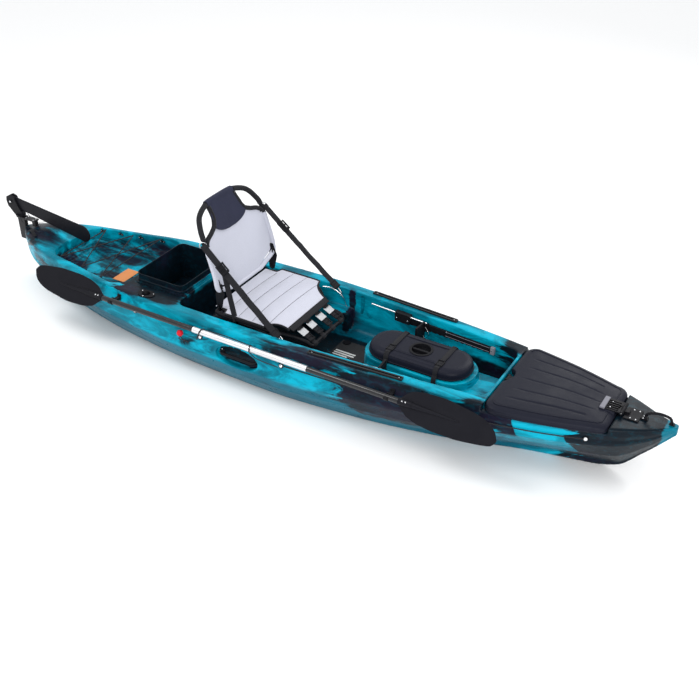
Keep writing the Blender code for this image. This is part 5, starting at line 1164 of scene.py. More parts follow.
def pan_half(x):
    """Half breadth of the seat's pan: narrow between the hinges, round at its front corners."""
    if x < HINGE[0] + 0.045:
        return BACK_ARM_Y - 0.012
    if x <= SEAT[1]:
        return PAN_HALF
    s = (x - SEAT[1]) / (SEAT[2] - SEAT[1])
    return 0.178 + (PAN_HALF - 0.178) * (1 - math.sqrt(max(0, 1 - (1 - s) ** 2)))


def pan_top(x):
    s = (x - SEAT[0]) / (SEAT[2] - SEAT[0])
    return SEAT_HEIGHT - 0.040 * max(0, (s - 0.72) / 0.28) ** 1.5


def pan_drift(u, t):
    """How far aft the middle of a seam hangs."""
    return 0.034 * (1 - u * u) * math.sin(math.pi * t)


def pan_point(u, t):
    """A point of the pan's cloth: u goes across it from -1 to 1, and t from its aft end to its front."""
    x = SEAT[0] + 0.002 + (SEAT[2] - SEAT[0] - 0.004) * t - pan_drift(u, t)
    sag = PAN_SAG * (1 - u * u) * math.sin(math.pi * t)
    return x, (pan_half(x) - PAN_MARGIN) * u, pan_top(x) - 0.009 - sag


def seat_pad(looks):
    """The seat's padded pan: five sewn channels blown up by cloth simulation between their seams."""
    long, wide = 70, 88
    seams = looks.seat_channels
    bm = bmesh.new()
    layers, held = [], []
    for face in (1, -1):
        grid = []
        for i in range(long + 1):
            row = []
            t = i / long
            for j in range(wide + 1):
                u = -1 + 2 * j / wide
                x, y, z = pan_point(u, t)
                edge = min(1, 12 * min(t, 1 - t)) * min(1, 14 * (1 - abs(u)))
                thick = 0.0045 * edge ** 0.5
                seam = abs((t * seams + 0.5) % 1 - 0.5) / seams * long
                quilt = 1 if seam > 0.6 or i in (0, long) else 0.35
                row.append(bm.verts.new((x, y, z + face * thick * quilt)))
                fixed = i in (0, long) or j in (0, wide) or seam <= 0.6
                held.append(1.0 if fixed else 0.0)
            grid.append(row)
        layers.append(grid)
    for grid, face in zip(layers, (1, -1)):
        for i in range(long):
            for j in range(wide):
                ring = (grid[i][j], grid[i + 1][j], grid[i + 1][j + 1], grid[i][j + 1])
                bm.faces.new(ring if face > 0 else ring[::-1])
    mesh = bpy.data.meshes.new("pan")
    bm.verts.index_update()
    bm.to_mesh(mesh)
    bm.free()
    pad = link("pan", mesh)
    group = pad.vertex_groups.new(name="sewn")
    for index, weight in enumerate(held):
        group.add([index], weight, "REPLACE")
    weld = bmesh.new()
    weld.from_mesh(pad.data)
    bmesh.ops.remove_doubles(weld, verts=weld.verts, dist=1e-5)
    bmesh.ops.recalc_face_normals(weld, faces=weld.faces)
    weld.to_mesh(pad.data)
    weld.free()
    swell(pad, "sewn", 0.0048)
    finer = pad.modifiers.new("finer", "SUBSURF")
    finer.levels = finer.render_levels = 1
    settle(pad)
    pad.data.shade_smooth()
    return pad


def swell(obj, pinned, most):
    """Blow a closed cloth body up between its pinned points, and cap how far each point moved."""
    scene = bpy.context.scene
    flat = [v.co.copy() for v in obj.data.vertices]
    step = obj.modifiers.new("cloth", "CLOTH")
    step.settings.quality = 5
    step.settings.mass = 0.2
    step.settings.tension_stiffness = 18
    step.settings.compression_stiffness = 12
    step.settings.bending_stiffness = 0.4
    step.settings.vertex_group_mass = pinned
    step.settings.use_pressure = True
    step.settings.uniform_pressure_force = 4
    step.settings.effector_weights.gravity = 0
    step.collision_settings.use_collision = False
    for frame_number in range(1, 21):
        scene.frame_set(frame_number)
    settle(obj)
    scene.frame_set(1)
    for vertex, start in zip(obj.data.vertices, flat):
        move = vertex.co - start
        if move.length > most:
            vertex.co = start + move * (most / move.length)
    return obj


def gunwale_line(side, aft, forward, inset, count):
    """Points just over the top of one gunwale."""
    return [(x, side * (gunwale_half(x) - inset), gunwale_height(x) + 0.0022)
            for x in clear_rows(aft, forward, count)]


class KAYAK_OT_hull(bpy.types.Operator):
    """Mould the hull, with rounded edges, in marbled teal"""
    bl_idname = "kayak.hull"
    bl_label = "Hull"

    def execute(self, context):
        looks = context.scene.kayak_looks
        hull = hull_body()
        marks = []
        for reach in (0.052, 0.084, 0.116):
            marks.append(ring_of((-1.215, -0.030, TANK_FLOOR), (0, 0, 1), reach, 0.0042, 0.72))
        for x in (-1.53, -1.44, -1.35):
            y = tank_half(x) - 0.085
            marks.append(tube([(x, -y, TANK_FLOOR), (x, y, TANK_FLOOR)], 0.0042))
        for x in (0.260, 0.330, 0.400):
            for side in (-1, 1):
                marks.append(tube([(x, side * y, COCKPIT_FLOOR) for y in (0.150, 0.225)], 0.0038))
        fuse(hull, *marks)
        grooves = []
        for side in (-1, 1):
            y = side * rim_half(0.20)
            grooves.append(tube([(0.198, y, 0.145), (0.205, y, 0.315)], 0.011))
            grooves.append(tube(gunwale_line(side, -1.66, -0.60, 0.0155, 30), 0.0046))
            grooves.append(tube(gunwale_line(side, -0.45, 1.10, 0.0145, 40), 0.0040))
        cut(hull, *grooves)
        melted(hull, looks.voxel * (1), 190000)
        finished(hull, "hull_moulding", "teal", "hull", "hull")
        dressed("rear_bin", "teal", 0.0016, 35, 3).name = "rear_bin_moulding"
        return {"FINISHED"}


def lid_shell(ends, half, corner, levels):
    """A lid's outer body, and the body to hollow it with."""
    body = well(ends, half, corner, levels)
    inside = well(ends, half, corner, [(z - LID_WALL, inset + LID_WALL) for z, inset in levels])
    return body, inside


class KAYAK_OT_lids(bpy.types.Operator):
    """Mould the bow hatch's creased lid and the console's domed lid"""
    bl_idname = "kayak.lids"
    bl_label = "Lids"

    def execute(self, context):
        fine = 0.0032
        self.hatch_lid(fine)
        self.console_lid(fine)
        return {"FINISHED"}

    def hatch_lid(self, fine):
        """The long lid, creased along and notched round the latch at its aft edge."""
        base = hatch_shelf() + REST_GAP
        top = base + LID_RISE
        levels = [(top + LID_CROWN, 0.118), (top + 0.8 * LID_CROWN, 0.080), (top + 0.5 * LID_CROWN, 0.044),
                  (top + 0.002, 0.022), (top - 0.002, 0.010), (top - 0.008, 0.002), (top - 0.014, 0),
                  (base, 0)]
        lid, inside = lid_shell(HATCH, hatch_half, HATCH_CORNER, levels)
        notch_x = HATCH[0] - 0.028
        bite, wide_bite = [rod((notch_x, 0, 0), (notch_x, 0, ABOVE), radius, 48) for radius in (0.066, 0.070)]
        cut(inside, wide_bite)
        creases = []
        for share in (-0.62, -0.34, 0.0, 0.34, 0.62):
            path = []
            for x in clear_rows(HATCH[0] + 0.055, HATCH[1] - 0.050 - 0.10 * abs(share), 24):
                y = share * hatch_half(x) + 0.006 * math.sin(14 * x)
                rise = LID_CROWN * min(1, hatch_half(x) * (1 - abs(share)) / 0.118) ** 0.8
                path.append((x, y, top + rise + 0.0047))
            creases.append(tube(path, 0.0078))
        cut(lid, bite, inside, *creases)
        fuse(lid, block((HINGE_PIN_X - 0.100, -0.045, top - 0.002),
                        (HINGE_PIN_X - 0.028, 0.045, top + LID_CROWN)))
        melted(lid, fine, 90000)
        notch = Vector((notch_x, 0))

        def bead(height, inset, radius):
            """A round bar along the lid's outline, open at the notch."""
            outline = plan(HATCH, hatch_half, HATCH_CORNER, inset)
            clear = [(x, y, height) for x, y in outline if (Vector((x, y)) - notch).length > 0.074]
            return tube(clear, radius)

        lid = joined("lid", [lid, bead(top + 0.0042, 0.032, 0.0026), bead(base + 0.0060, 0.0005, 0.0034)])
        finished(lid, "bow_hatch_moulding", "lid", "bow_hatch", "bow_hatch_lid")

    def console_lid(self, fine):
        """The domed lid, with a hole for its round cap, grooves and beads along its sides."""
        base, top = CONSOLE_BASE, CONSOLE_TOP
        levels = [(top, 0.036), (top - 0.0022, 0.024), (top - 0.007, 0.0125), (top - 0.014, 0.0055),
                  (top - 0.022, 0.002), (top - 0.036, 0.0008), (base + 0.0075, 0), (base, 0)]
        lid, inside = lid_shell(CONSOLE, console_half, CONSOLE_CORNER, levels)
        hole = rod((CONSOLE_X, 0, base), (CONSOLE_X, 0, ABOVE), 0.0528, 64)

        def bar(reach, y, height, radius):
            """A round bar fore and aft, as far as reach each way."""
            return tube([(CONSOLE_X + way * reach, y, height) for way in (-1, 1)], radius)

        grooves = [bar(0.108, side * y, top + 0.0030, 0.0058) for side in (-1, 1) for y in (0.066, 0.086)]
        cut(lid, inside, hole, *grooves)
        melted(lid, fine, 90000)
        outline = plan(CONSOLE, console_half, CONSOLE_CORNER, 0.0005)
        beads = [tube([(x, y, base + 0.0050) for x, y in outline], 0.0036, 12, True)]
        beads += [bar(0.118, side * y, height, 0.0022) for side in (-1, 1)
                  for y, height in ((0.072, top + 0.0004), (0.1105, top - 0.0125))]
        finished(joined("lid", [lid, *beads]), "console_lid_moulding", "lid", "console_lid", "console_lid")


class KAYAK_OT_frames(bpy.types.Operator):
    """Bend the seat's tube frames and cut their hinge plates"""
    bl_idname = "kayak.frames"
    bl_label = "Seat frames"

    def execute(self, context):
        self.base()
        self.back()
        self.plate_screws()
        return {"FINISHED"}

    def base(self):
        """The bent tube under the pan, and the plates that it stands on."""
        rail_y = PAN_HALF - 0.014
        tube_z = SEAT_HEIGHT - 0.018 - 0.0113
        nose_z = NOSE_HEIGHT - 0.018 - 0.0113
        bar_x, bar_z = SEAT_BAR
        knots = [(SEAT[0] + 0.020, 0.10, tube_z - 0.012), (SEAT[0] + 0.020, rail_y - 0.040, tube_z),
                 (SEAT[0] + 0.050, rail_y, tube_z), (SEAT[1] - 0.060, rail_y, tube_z),
                 (SEAT[1] + 0.020, rail_y - 0.020, tube_z - 0.022), (SEAT[2], 0.168, nose_z - 0.020),
                 (bar_x - 0.031, 0.162, bar_z + 0.022), (bar_x, 0.148, bar_z), (bar_x, 0.080, bar_z)]
        side = curve_points(knots, 8)
        shapes = [tube(side + [Vector((p.x, -p.y, p.z)) for p in side[::-1]], TUBE_RADIUS, 24, True)]
        for way in (1, -1):
            outline = [(SEAT[0] - 0.030, LEDGE), (SEAT[1] + 0.010, LEDGE), (SEAT[1] + 0.010, LEDGE + 0.016),
                       (SEAT[1] - 0.040, LEDGE + 0.090), (HINGE[0] + 0.030, LEDGE + 0.096),
                       (HINGE[0] + 0.016, HINGE[1] + 0.010), (HINGE[0], HINGE[1] + 0.017),
                       (HINGE[0] - 0.016, HINGE[1] + 0.010), (SEAT[0] - 0.030, LEDGE + 0.070)]
            window = [(SEAT[0] + 0.010, LEDGE + 0.020), (SEAT[1] - 0.045, LEDGE + 0.020),
                      (SEAT[1] - 0.065, LEDGE + 0.072), (SEAT[0] + 0.030, LEDGE + 0.072)]
            cheek = slab(outline, way * PLATE_Y, way * (PLATE_Y + 0.006))
            cut(cheek, slab(window, way * (PLATE_Y - 0.01), way * (PLATE_Y + 0.02)))
            low, high = sorted((way * (PLATE_Y - 0.012), way * (PLATE_Y + 0.012)))
            fuse(cheek, block((SEAT[0] - 0.030, low, LEDGE), (SEAT[1] + 0.010, high, LEDGE + 0.005)))
            shapes.append(rounded(cheek, 0.0012, 35, 2))
            for reach, inner, radius in ((0.010, 0.010, 0.005), (-0.0078 - 0.0038, 0.014, 0.009)):
                shapes.append(rounded(rod((HINGE[0], way * (BACK_ARM_Y - inner), HINGE[1]),
                                          (HINGE[0], way * (PLATE_Y + reach), HINGE[1]), radius), 0.0006))
        finished(joined("base", shapes), "seat_base_tubes", "black", "seat", "seat_base_frame")

    def back(self):
        """The back's tube loop, its arms and the pins for the side straps."""
        shapes = [tube(loop_points(8), TUBE_RADIUS, 24, True)]
        arm_x, bridge_x = back_x(BACK[0] + 0.073), back_x(BACK[0] + 0.063)
        for way in (1, -1):
            outline = [(HINGE[0] - 0.016, HINGE[1] - 0.010), (HINGE[0], HINGE[1] - 0.018),
                       (HINGE[0] + 0.016, HINGE[1] - 0.010), (back_x(BACK[0]) + 0.022, BACK[0] + 0.020),
                       (arm_x + 0.008, BACK[0] + 0.085), (arm_x - 0.010, BACK[0] + 0.085),
                       (HINGE[0] - 0.018, BACK[0])]
            arm = slab(outline, way * (BACK_ARM_Y - 0.007), way * (BACK_ARM_Y - 0.0015))
            cut(arm, rod((HINGE[0], -1, HINGE[1]), (HINGE[0], 1, HINGE[1]), 0.0054))
            low, high = sorted((way * (BACK_ARM_Y - 0.0065), way * (BACK_HALF - 0.001)))
            fuse(arm, block((bridge_x - 0.0062, low, BACK[0] + 0.060),
                            (bridge_x + 0.0064, high, BACK[0] + 0.0815)))
            shapes.append(rounded(arm, 0.001, 35, 2))
            shapes.append(rod((back_x(RING_HEIGHT), way * BACK_RING_HALF, RING_HEIGHT),
                              (back_x(RING_HEIGHT), way * (BACK_HALF + 0.0136), RING_HEIGHT), 0.006))
        finished(joined("loop", shapes), "seat_back_tubes", "black", "seat_back", "seat_back_frame")

    def plate_screws(self):
        spots = []
        for way in (1, -1):
            for x, z in ((SEAT[0] - 0.018, LEDGE + 0.012), (SEAT[0] - 0.018, LEDGE + 0.058),
                         (SEAT[1] - 0.010, LEDGE + 0.011)):
                spots.append(((x, way * (PLATE_Y + 0.006), z), (0, way, 0)))
            for x in (SEAT[0] + 0.03, -0.22, -0.10):
                spots.append(((x, way * (PLATE_Y + 0.009), LEDGE + 0.005), (0, 0, 1)))
        screws("seat_base_screws", "seat", spots)


class KAYAK_OT_seat_cloth(bpy.types.Operator):
    """Sew the seat's padded pan, its stretched mesh back and the headrest"""
    bl_idname = "kayak.seat_cloth"
    bl_label = "Seat cloth"

    def execute(self, context):
        looks = context.scene.kayak_looks
        self.pan(looks)
        self.back(looks)
        self.headrest(looks)
        return {"FINISHED"}

    def pan(self, looks):
        """The padded pan with its bound sides and its stitched seams."""
        pad = finished(seat_pad(looks), "seat_pad", "mesh", "seat", "seat_pan")
        rims = []
        for side in (-1, 1):
            edge = [(x, side * (pan_half(x) - 0.001), pan_top(x) - 0.0088)
                    for x in clear_rows(SEAT[0] + 0.048, SEAT[2] - 0.002, 40)]
            rims.append(tube(edge, 0.0052))
        finished(joined("rims", rims), "seat_pad_binding", "webbing", "seat")
        seams = []
        for k in range(1, looks.seat_channels):
            row = []
            for u in clear_rows(-0.94, 0.94, 30):
                x, y, z = pan_point(u, k / looks.seat_channels)
                row.append((x, y, z + 0.0022))
            seams.append(pattern(stitches).on(edge_line(row), "thread", Pitch=0.0046, Thread=0.0014))
        finished(joined("seams", seams), "seat_pad_stitches", "thread", "seat")

    def back(self, looks):
        """The mesh stretched on the back's tubes, its sleeve, and the bindings round the hand holes."""
        low, high = EDGE_HEIGHTS[0], EDGE_HEIGHTS[-1]

        def panel_half(z):
            beside_lugs = BACK[0] + 0.013 < z < BACK[0] + 0.0935
            return back_edge(z) - (0.014 if beside_lugs else 0)

        panel = cloth_sheet(clear_rows(low, high, 70), panel_half, 0.0026, 0, 40, looks.cloth_pull)
        finished(panel, "seat_back_mesh", "mesh", "seat_back", "seat_back_panel")
        2 * BACK_HALF

        loop = loop_points(8)
        port = [p for p in loop[:len(loop) // 2] if p.z < RING_HEIGHT - 0.024]
        sleeve = [Vector((p.x, -p.y, p.z)) for p in port[::-1]] + port
        finished(tube(sleeve, 0.0128, 24), "seat_back_sleeve", "mesh", "seat_back")

        bindings = []
        for side in (-1, 1):
            hole = [(back_x(z) - back_dish(back_edge(z), z) + 0.001, side * (back_edge(z) + 0.0005), z)
                    for z in clear_rows(RING_HEIGHT - 0.026, BACK[1] - 0.016, 40)]
            bindings.append(tube(hole, 0.0122, 20))
            rail = [Vector((p.x, side * p.y, p.z)) for p in loop[:len(loop) // 2]
                    if p.z > RING_HEIGHT + 0.012 and p.y > 0.112]
            bindings.append(tube(rail, 0.0142, 24))
        hem = [p + Vector((0.0095, -0.10 * p.y * (abs(p.y) > 0.2), -0.0075))
               for p in sleeve if p.z < BACK[0] + 0.075]
        bindings.append(tube(hem, 0.0034, 10))
        finished(joined("bindings", bindings), "seat_back_binding", "webbing", "seat_back")

    def headrest(self, looks):
        """The headrest's cloth, wrapped over the top tube, and the stitches round it."""
        high, bottom = EDGE_HEIGHTS[-1], NECK[1] - 0.048
        lift = 0.0013 + 0.0006 + 0.0045
        heights = [bottom + (high - 0.003 - bottom) * (i / 34) ** 1.3 for i in range(35)]
        rest = cloth_sheet(heights, headrest_half, 0.0080, lift, 32, looks.cloth_pull, range(-5, 226, 15))
        finished(rest, "headrest_pad", "navy", "seat_back", "seat_headrest")
        outline = []
        for side, zs in ((-1, heights[:1:-1]), (1, heights[2:])):
            for z in zs:
                half = headrest_half(z) - 0.006
                outline.append((back_x(z) - back_dish(half, z) + lift + 0.0044, side * half, z))
        thread = pattern(stitches).on(edge_line(outline), "thread", Pitch=0.0062, Thread=0.0008)
        finished(thread, "headrest_stitches", "thread", "seat_back")


STRAP_THICKNESS = 0.0020
SLIDE_PLACE, LOCK_PLACE = 0.26, 0.955


class KAYAK_OT_straps(bpy.types.Operator):
    """Sew the seat's side straps, its front tabs and the console's straps"""
    bl_idname = "kayak.straps"
    bl_label = "Straps"

    def execute(self, context):
        for side, label in SIDES:
            self.side_strap(side, label, context.scene.kayak_looks.strap_width)
        self.front_tabs()
        self.console_bands()
        self.stern_strap()
        return {"FINISHED"}

    def side_strap(self, side, label, width):
        """A strap from the seat's back to the gunwale, with its slide, lock, ring and hook."""
        body = NODES["seat_strap_" + label]["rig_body"]
        ring = Vector((back_x(RING_HEIGHT) + 0.002, side * (BACK_HALF + 0.0152), RING_HEIGHT))
        end = Vector((0.052, side * (rim_half(0.05) - 0.014), gunwale_height(0.05) - 0.008))
        run = (end - ring).normalized()
        across = run.cross(Vector((0.42, -0.60 if side < 0 else -0.20, 0.70))).normalized()
        up = across.cross(run)
        path, sides = [], []
        for i in range(41):
            s = i / 40
            sag = 0.005 * math.sin(math.pi * s) - 0.0015 * math.sin(9 * math.pi * s) * (s > 0.45)
            path.append(ring + (end - ring) * (0.012 + 0.976 * s) - Vector((0, 0, sag)))
            turn = 0.10 * math.sin(math.pi * 3 * s)
            sides.append(across + Vector((0, side, 0)) * turn)
        shapes = [ribbon(path, sides, width, STRAP_THICKNESS)]
        for start in (0.006, LOCK_PLACE):
            fold = [ring + (end - ring) * (start + 0.035 * t) + up * 0.0022 for t in clear_rows(0, 1, 5)]
            shapes.append(ribbon(fold, across, width, STRAP_THICKNESS))
        over = [path[i] + up * (0.0030 + 0.0014 * math.sin(1.7 * i)) for i in range(11, 23)]
        shapes.append(ribbon(over, sides[11:23], 0.92 * width, 0.0022))
        strap = finished(joined("strap", shapes), "seat_side_strap_" + label, "webbing", None,
                         "seat_strap_" + label)
        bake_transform(strap)
        # The slide's place as a share of the first 0.90 of the strap's length.
        share = SLIDE_PLACE / 0.90
        if side < 0:
            low = Vector((-0.228, side * (PAN_HALF - 0.004), 0.322))
            tail = [path[11] + (low - path[11]) * t - Vector((0, 0, 0.006 * math.sin(math.pi * t)))
                    for t in clear_rows(0, 1, 16)]
            tail = finished(ribbon(tail, sides[11], 0.86 * width, STRAP_THICKNESS),
                            "seat_strap_tail_" + label, "webbing", None)
            path[11] - (low - path[11]) * share / (1 - share)
            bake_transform(tail)
        middle = ring + (end - ring) * SLIDE_PLACE + up * 0.0050
        slide = finished(ladder_lock(middle, run, across, width + 0.006, 0.028),
                         "seat_strap_slide_" + label, "black", None)
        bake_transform(slide)
        lock = ladder_lock(ring + (end - ring) * LOCK_PLACE, run, across, width + 0.004)
        finished(lock, "seat_strap_lock_" + label, "black", NODES["seat_buckle_" + label]["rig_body"],
                 "seat_buckle_" + label)
        hoop = ring_of(ring + run * 0.004, up, 0.0165, 0.0026, 0.9)
        finished(hoop, "seat_strap_ring_" + label, "steel", "seat_back")
        hook = curve_points([(-0.024, side * 0.252, 0.331), (0.030, side * 0.262, 0.331),
                             (0.084, side * 0.277, 0.290), (0.111, side * 0.285, 0.214)], 8)
        finished(tube(hook, 0.0027), "seat_strap_hook_" + label, "chrome", body)

    def front_tabs(self):
        """The four pale tabs that lace the pan's front edge to the tube, with their adjusters and bands."""
        tabs, locks, bands = [], [], []
        bar_x, bar_z = SEAT_BAR
        nose_x, nose_z = SEAT[2], NOSE_HEIGHT - 0.0105
        for y in (-0.125, -0.045, 0.045, 0.125):
            start, stop = Vector((nose_x + 0.004, y, nose_z)), Vector((bar_x - 0.004, y, bar_z + 0.0125))
            path = [start + (stop - start) * t + Vector((0, 0, 0.0025 * math.sin(math.pi * t)))
                    for t in clear_rows(0, 1, 12)]
            path += [Vector((bar_x + 0.0125 * math.sin(a), y, bar_z + 0.0125 * math.cos(a)))
                     for a in clear_rows(0.1, 2.6, 8)]
            bands.append(ribbon(path, (0, 1, 0), 0.030, 0.0016))
            run = (stop - start).normalized()
            up = Vector((0, 1, 0)).cross(run) * -1
            tab = [start + run * (0.026 + 0.042 * t) + up * 0.0048 for t in clear_rows(0, 1, 5)]
            tabs.append(ribbon(tab, (0, 1, 0), 0.050, 0.0032))
            locks.append(ladder_lock(start + run * 0.090 + up * 0.004, run, (0, -1, 0), 0.038))
            locks.append(ladder_lock(start + run * 0.016 + up * 0.006, run, (0, -1, 0), 0.038, 0.014))
        finished(joined("tabs", tabs), "seat_front_tabs", "white_webbing", "seat", "seat_lacing")
        finished(joined("locks", locks), "seat_front_locks", "black", "seat")
        front = [(nose_x + 0.004, y, nose_z + 0.006) for y in clear_rows(-0.172, 0.172, 12)]
        bands.insert(0, ribbon(front, (1, 0, -0.35), 0.036, 0.0034))
        finished(joined("bands", bands), "seat_front_bands", "webbing", "seat")

    def console_bands(self):
        """The two straps over the console's lid, with their locks and the eyes that hold them."""
        base, top, outer = CONSOLE_BASE, CONSOLE_TOP, CONSOLE_HALF
        side = [(outer + 0.0158, PEDESTAL_TOP - 0.037), (outer + 0.0141, PEDESTAL_TOP + 0.002),
                (outer + 0.0030, base + 0.012), (outer + 0.0018, top - 0.022), (outer - 0.0045, top - 0.0085),
                (outer - 0.017, top + 0.0010), (outer - 0.034, top + 0.0016)]
        for label, x in (("aft", CONSOLE_X - 0.135), ("forward", CONSOLE_X + 0.135)):
            path = curve_points([(x, -y, z) for y, z in side] + [(x, y, z) for y, z in side[::-1]], 4)
            shapes = [ribbon(path, (1, 0, 0), 0.025, 0.0019)]
            tail = [p + Vector((0.001, 0, 0.0024 + 0.0012 * math.sin(i))) for i, p in enumerate(path[24:33])]
            shapes.append(ribbon(tail, (1, 0.05, 0), 0.025, 0.0019))
            finished(joined("band", shapes), "console_band_" + label, "webbing",
                     NODES["console_strap_" + label]["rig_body"], "console_strap_" + label)
            lock = ladder_lock((x, -outer + 0.052, top + 0.0035), (0, 1, 0), (1, 0, 0), 0.031)
            finished(lock, "console_lock_" + label, "black", "console_lid")
            hoops = []
            for way in (-1, 1):
                place = Vector((x, way * (outer + 0.0170), PEDESTAL_TOP - 0.044))
                hoops.append(ring_of(place, (0, 1, 0), 0.0090, 0.0017))
            finished(joined("hoops", hoops), "console_eyes_" + label, "steel", "hull")

    def stern_strap(self):
        """The low arched strap on the starboard edge of the stern."""
        path = []
        for x in clear_rows(STERN + 0.085, STERN + 0.185, 24):
            arch = 0.018 * math.sin(math.pi * (x - STERN - 0.085) / 0.1)
            deck = gunwale_height(x) + deck_crown(x) * 0.6
            path.append((x, -(gunwale_half(x) - 0.030), deck + 0.0036 + arch))
        finished(ribbon(path, (0, 1, 0), 0.022, 0.003), "stern_strap", "webbing", "hull", "stern_handle")


LEASH_X = -0.051
CORD_RADIUS = 0.0025


class KAYAK_OT_cords(bpy.types.Operator):
    """Lay the paddle leash, the keeper cord, the deck lines, the bungee and the rudder cables"""
    bl_idname = "kayak.cords"
    bl_label = "Cords"

    def execute(self, context):
        self.leash()
        self.keeper()
        self.deck_lines()
        self.bungee()
        self.rudder_cables()
        return {"FINISHED"}

    def leash(self):
        """The leash: from its aft button round the paddle's tube, along it, round it again and down."""
        tube_x, y, z = LEASH_X, PADDLE[1], PADDLE[2]
        over = PADDLE_TUBE + 0.0036
        turn = [math.radians(a) for a in range(195, 14, -30)]
        up = [(tube_x - 0.300 + 0.003 * i, y + over * math.cos(a), z + over * math.sin(a))
              for i, a in enumerate(turn)]
        down = [(tube_x + 0.003 * i, y + over * math.cos(a), z + over * math.sin(a))
                for i, a in enumerate(turn[::-1])]
        ends = [(tube_x - 0.315, y - 0.016, z - 0.042), (tube_x + 0.070, y - 0.024, z - 0.026),
                (tube_x + 0.186, y - 0.018, z - 0.036)]
        leash = curve_points([ends[0]] + up + [(tube_x - 0.15, y + 0.017, z + 0.014)] + down + ends[1:], 4)
        piece = finished(tube(leash, CORD_RADIUS), "leash_cord", "cord",
                         NODES["paddle_leash"]["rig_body"], "paddle_leash")

    def keeper(self):
        """The short cord between two eyes on the hull's side, and the red ball threaded on it."""
        bx, by = LEASH_X - 0.431, PADDLE[1] - 0.008
        eye = -(side_half(bx, 0.205) + 0.0028)
        keeper = curve_points([(bx - 0.004, eye, 0.205), (bx - 0.006, by - 0.006, 0.217), (bx, by, 0.2297),
                               (bx + 0.020, by - 0.004, 0.217), (bx + 0.045, eye, 0.205)], 8)
        piece = finished(tube(keeper, CORD_RADIUS), "keeper_line", "cord",
                         NODES["keeper_cord"]["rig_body"], "keeper_cord")
        ball = dressed("keeper_ball", "red", 0.0, 80)

    def deck_lines(self):
        for side, label in SIDES[::-1]:
            path = []
            for i in range(61):
                x = 0.140 + (BOW - 0.355 - 0.140) * i / 60
                height = 0.256 + 0.006 * i / 60
                path.append((x, side * (side_half(x, height) + 0.0038), height))
            rope_mesh = pattern(laid_rope).on(edge_line(path), "cord", Radius=0.0034, Lay=0.030)
            finished(rope_mesh, "deck_rope_" + label, "cord", "hull", "deck_line_" + label)

    def bungee(self):
        """One shock cord that zigzags over the tank well and back."""
        low = TANK_FLOOR + 0.095
        path = []
        stations = (0.450, 0.640, 0.810)
        for lift, order in ((0, stations), (0.009, stations[::-1])):
            for i, station in enumerate(order):
                x = STERN + station
                side = 1 if (i + (lift > 0)) % 2 else -1
                path.append(Vector((x + (0.012 if lift else 0), side * (tank_half(x) - 0.0058), low + lift)))
        loop = []
        for a, b in zip(path, path[1:] + path[:1]):
            loop += [a + (b - a) * (i / 20) for i in range(20)]
        finished(tube(loop, 0.0030, 12, True), "tank_bungee", "cord", "hull", "well_bungee")

    def rudder_cables(self):
        for side, label in SIDES:
            base = BRACKET_TOP + 0.0008
            steer_x, rim = STERN - 0.035, 0.0318
            knots = [(steer_x - 0.002, side * rim, base + 0.007), (steer_x + 0.020, side * rim, base + 0.007)]
            for x, y in ((STERN + 0.024, 0.034), (STERN + 0.070, 0.040), (STERN + 0.120, 0.058),
                         (STERN + 0.180, 0.080)):
                lift = 0.005 + 0.012 * max(0, 1 - (x - STERN) / 0.1)
                knots.append((x, side * y, gunwale_height(x) + deck_crown(x) + lift))
            finished(tube(curve_points(knots, 8), 0.0015, 10), "steering_cable_" + label, "cord", "hull",
                     "rudder_cable_" + label)


PADDLE = (-0.106, -side_half(0, 0.296) - 0.0257, 0.296)
PADDLE_REACH = 2.806 / 2
PADDLE_TUBE = 0.0155
BLADE_LENGTH, BLADE_WIDTH = 0.500, 0.166
BLADE_TILT = math.radians(52)
BLADE_STATIONS = (0, 0.10, 0.24, 0.42, 0.60, 0.76, 0.88, 0.96, 1)
BLADE_SHORT_SIDE = (0.11, 0.37, 0.46, 0.48, 0.42, 0.35, 0.23, 0.06, -0.14)
BLADE_LONG_SIDE = (0.12, 0.33, 0.45, 0.50, 0.50, 0.45, 0.40, 0.34, 0.20)


def paddle_blade(way):
    """A lipped blade with a ridge down its spine, round the neck that takes the shaft."""
    root = PADDLE_REACH - BLADE_LENGTH
    rings = []
    for i in range(90):
        s = i / 89
        x = root + 0.006 + (BLADE_LENGTH - 0.006) * s
        upper, lower = [], []
        a = -BLADE_WIDTH * cubic(BLADE_STATIONS, BLADE_LONG_SIDE, s)
        b = BLADE_WIDTH * cubic(BLADE_STATIONS, BLADE_SHORT_SIDE, s)
        fade = min(1, (1 - s) * 14)
        for j in range(41):
            u = -1 + j / 20
            y = a + (b - a) * (u + 1) / 2
            lip = 0.0010 * math.exp(-((1 - abs(u)) / 0.045) ** 2) * fade
            ridge = 0.0042 * math.exp(-(y / 0.011) ** 2) * max(0, 1 - s / 0.68)
            half = 0.0019 * (1 - 0.55 * abs(u) ** 6) * (0.45 + 0.55 * fade) + lip + ridge
            if j in (0, 40):
                half *= 0.5
            spoon = 0.004 * (u * u - 0.4) * math.sin(math.pi * min(1, s * 1.1))
            upper.append((x, y, half + spoon))
            lower.append((x, y, -half + spoon))
        rings.append(upper + lower[::-1])
    blade = skin(rings)
    neck = rod((root, 0, 0), (root + 0.070, 0, 0), 0.0175, 40)
    spine = rod((root + 0.055, 0, 0), (root + 0.31, 0, 0), 0.0166, 32, 0.004)
    fuse(blade, neck, spine)
    cut(blade, rod((root - 0.01, 0, 0), (root + 0.0503, 0, 0), 0.0148, 40))
    turn = Matrix.Rotation(0 if way > 0 else math.pi, 4, "Z")
    blade.data.transform(Matrix.Translation(PADDLE) @ Matrix.Rotation(BLADE_TILT, 4, "X") @ turn)
    return rounded(blade, 0, 30)


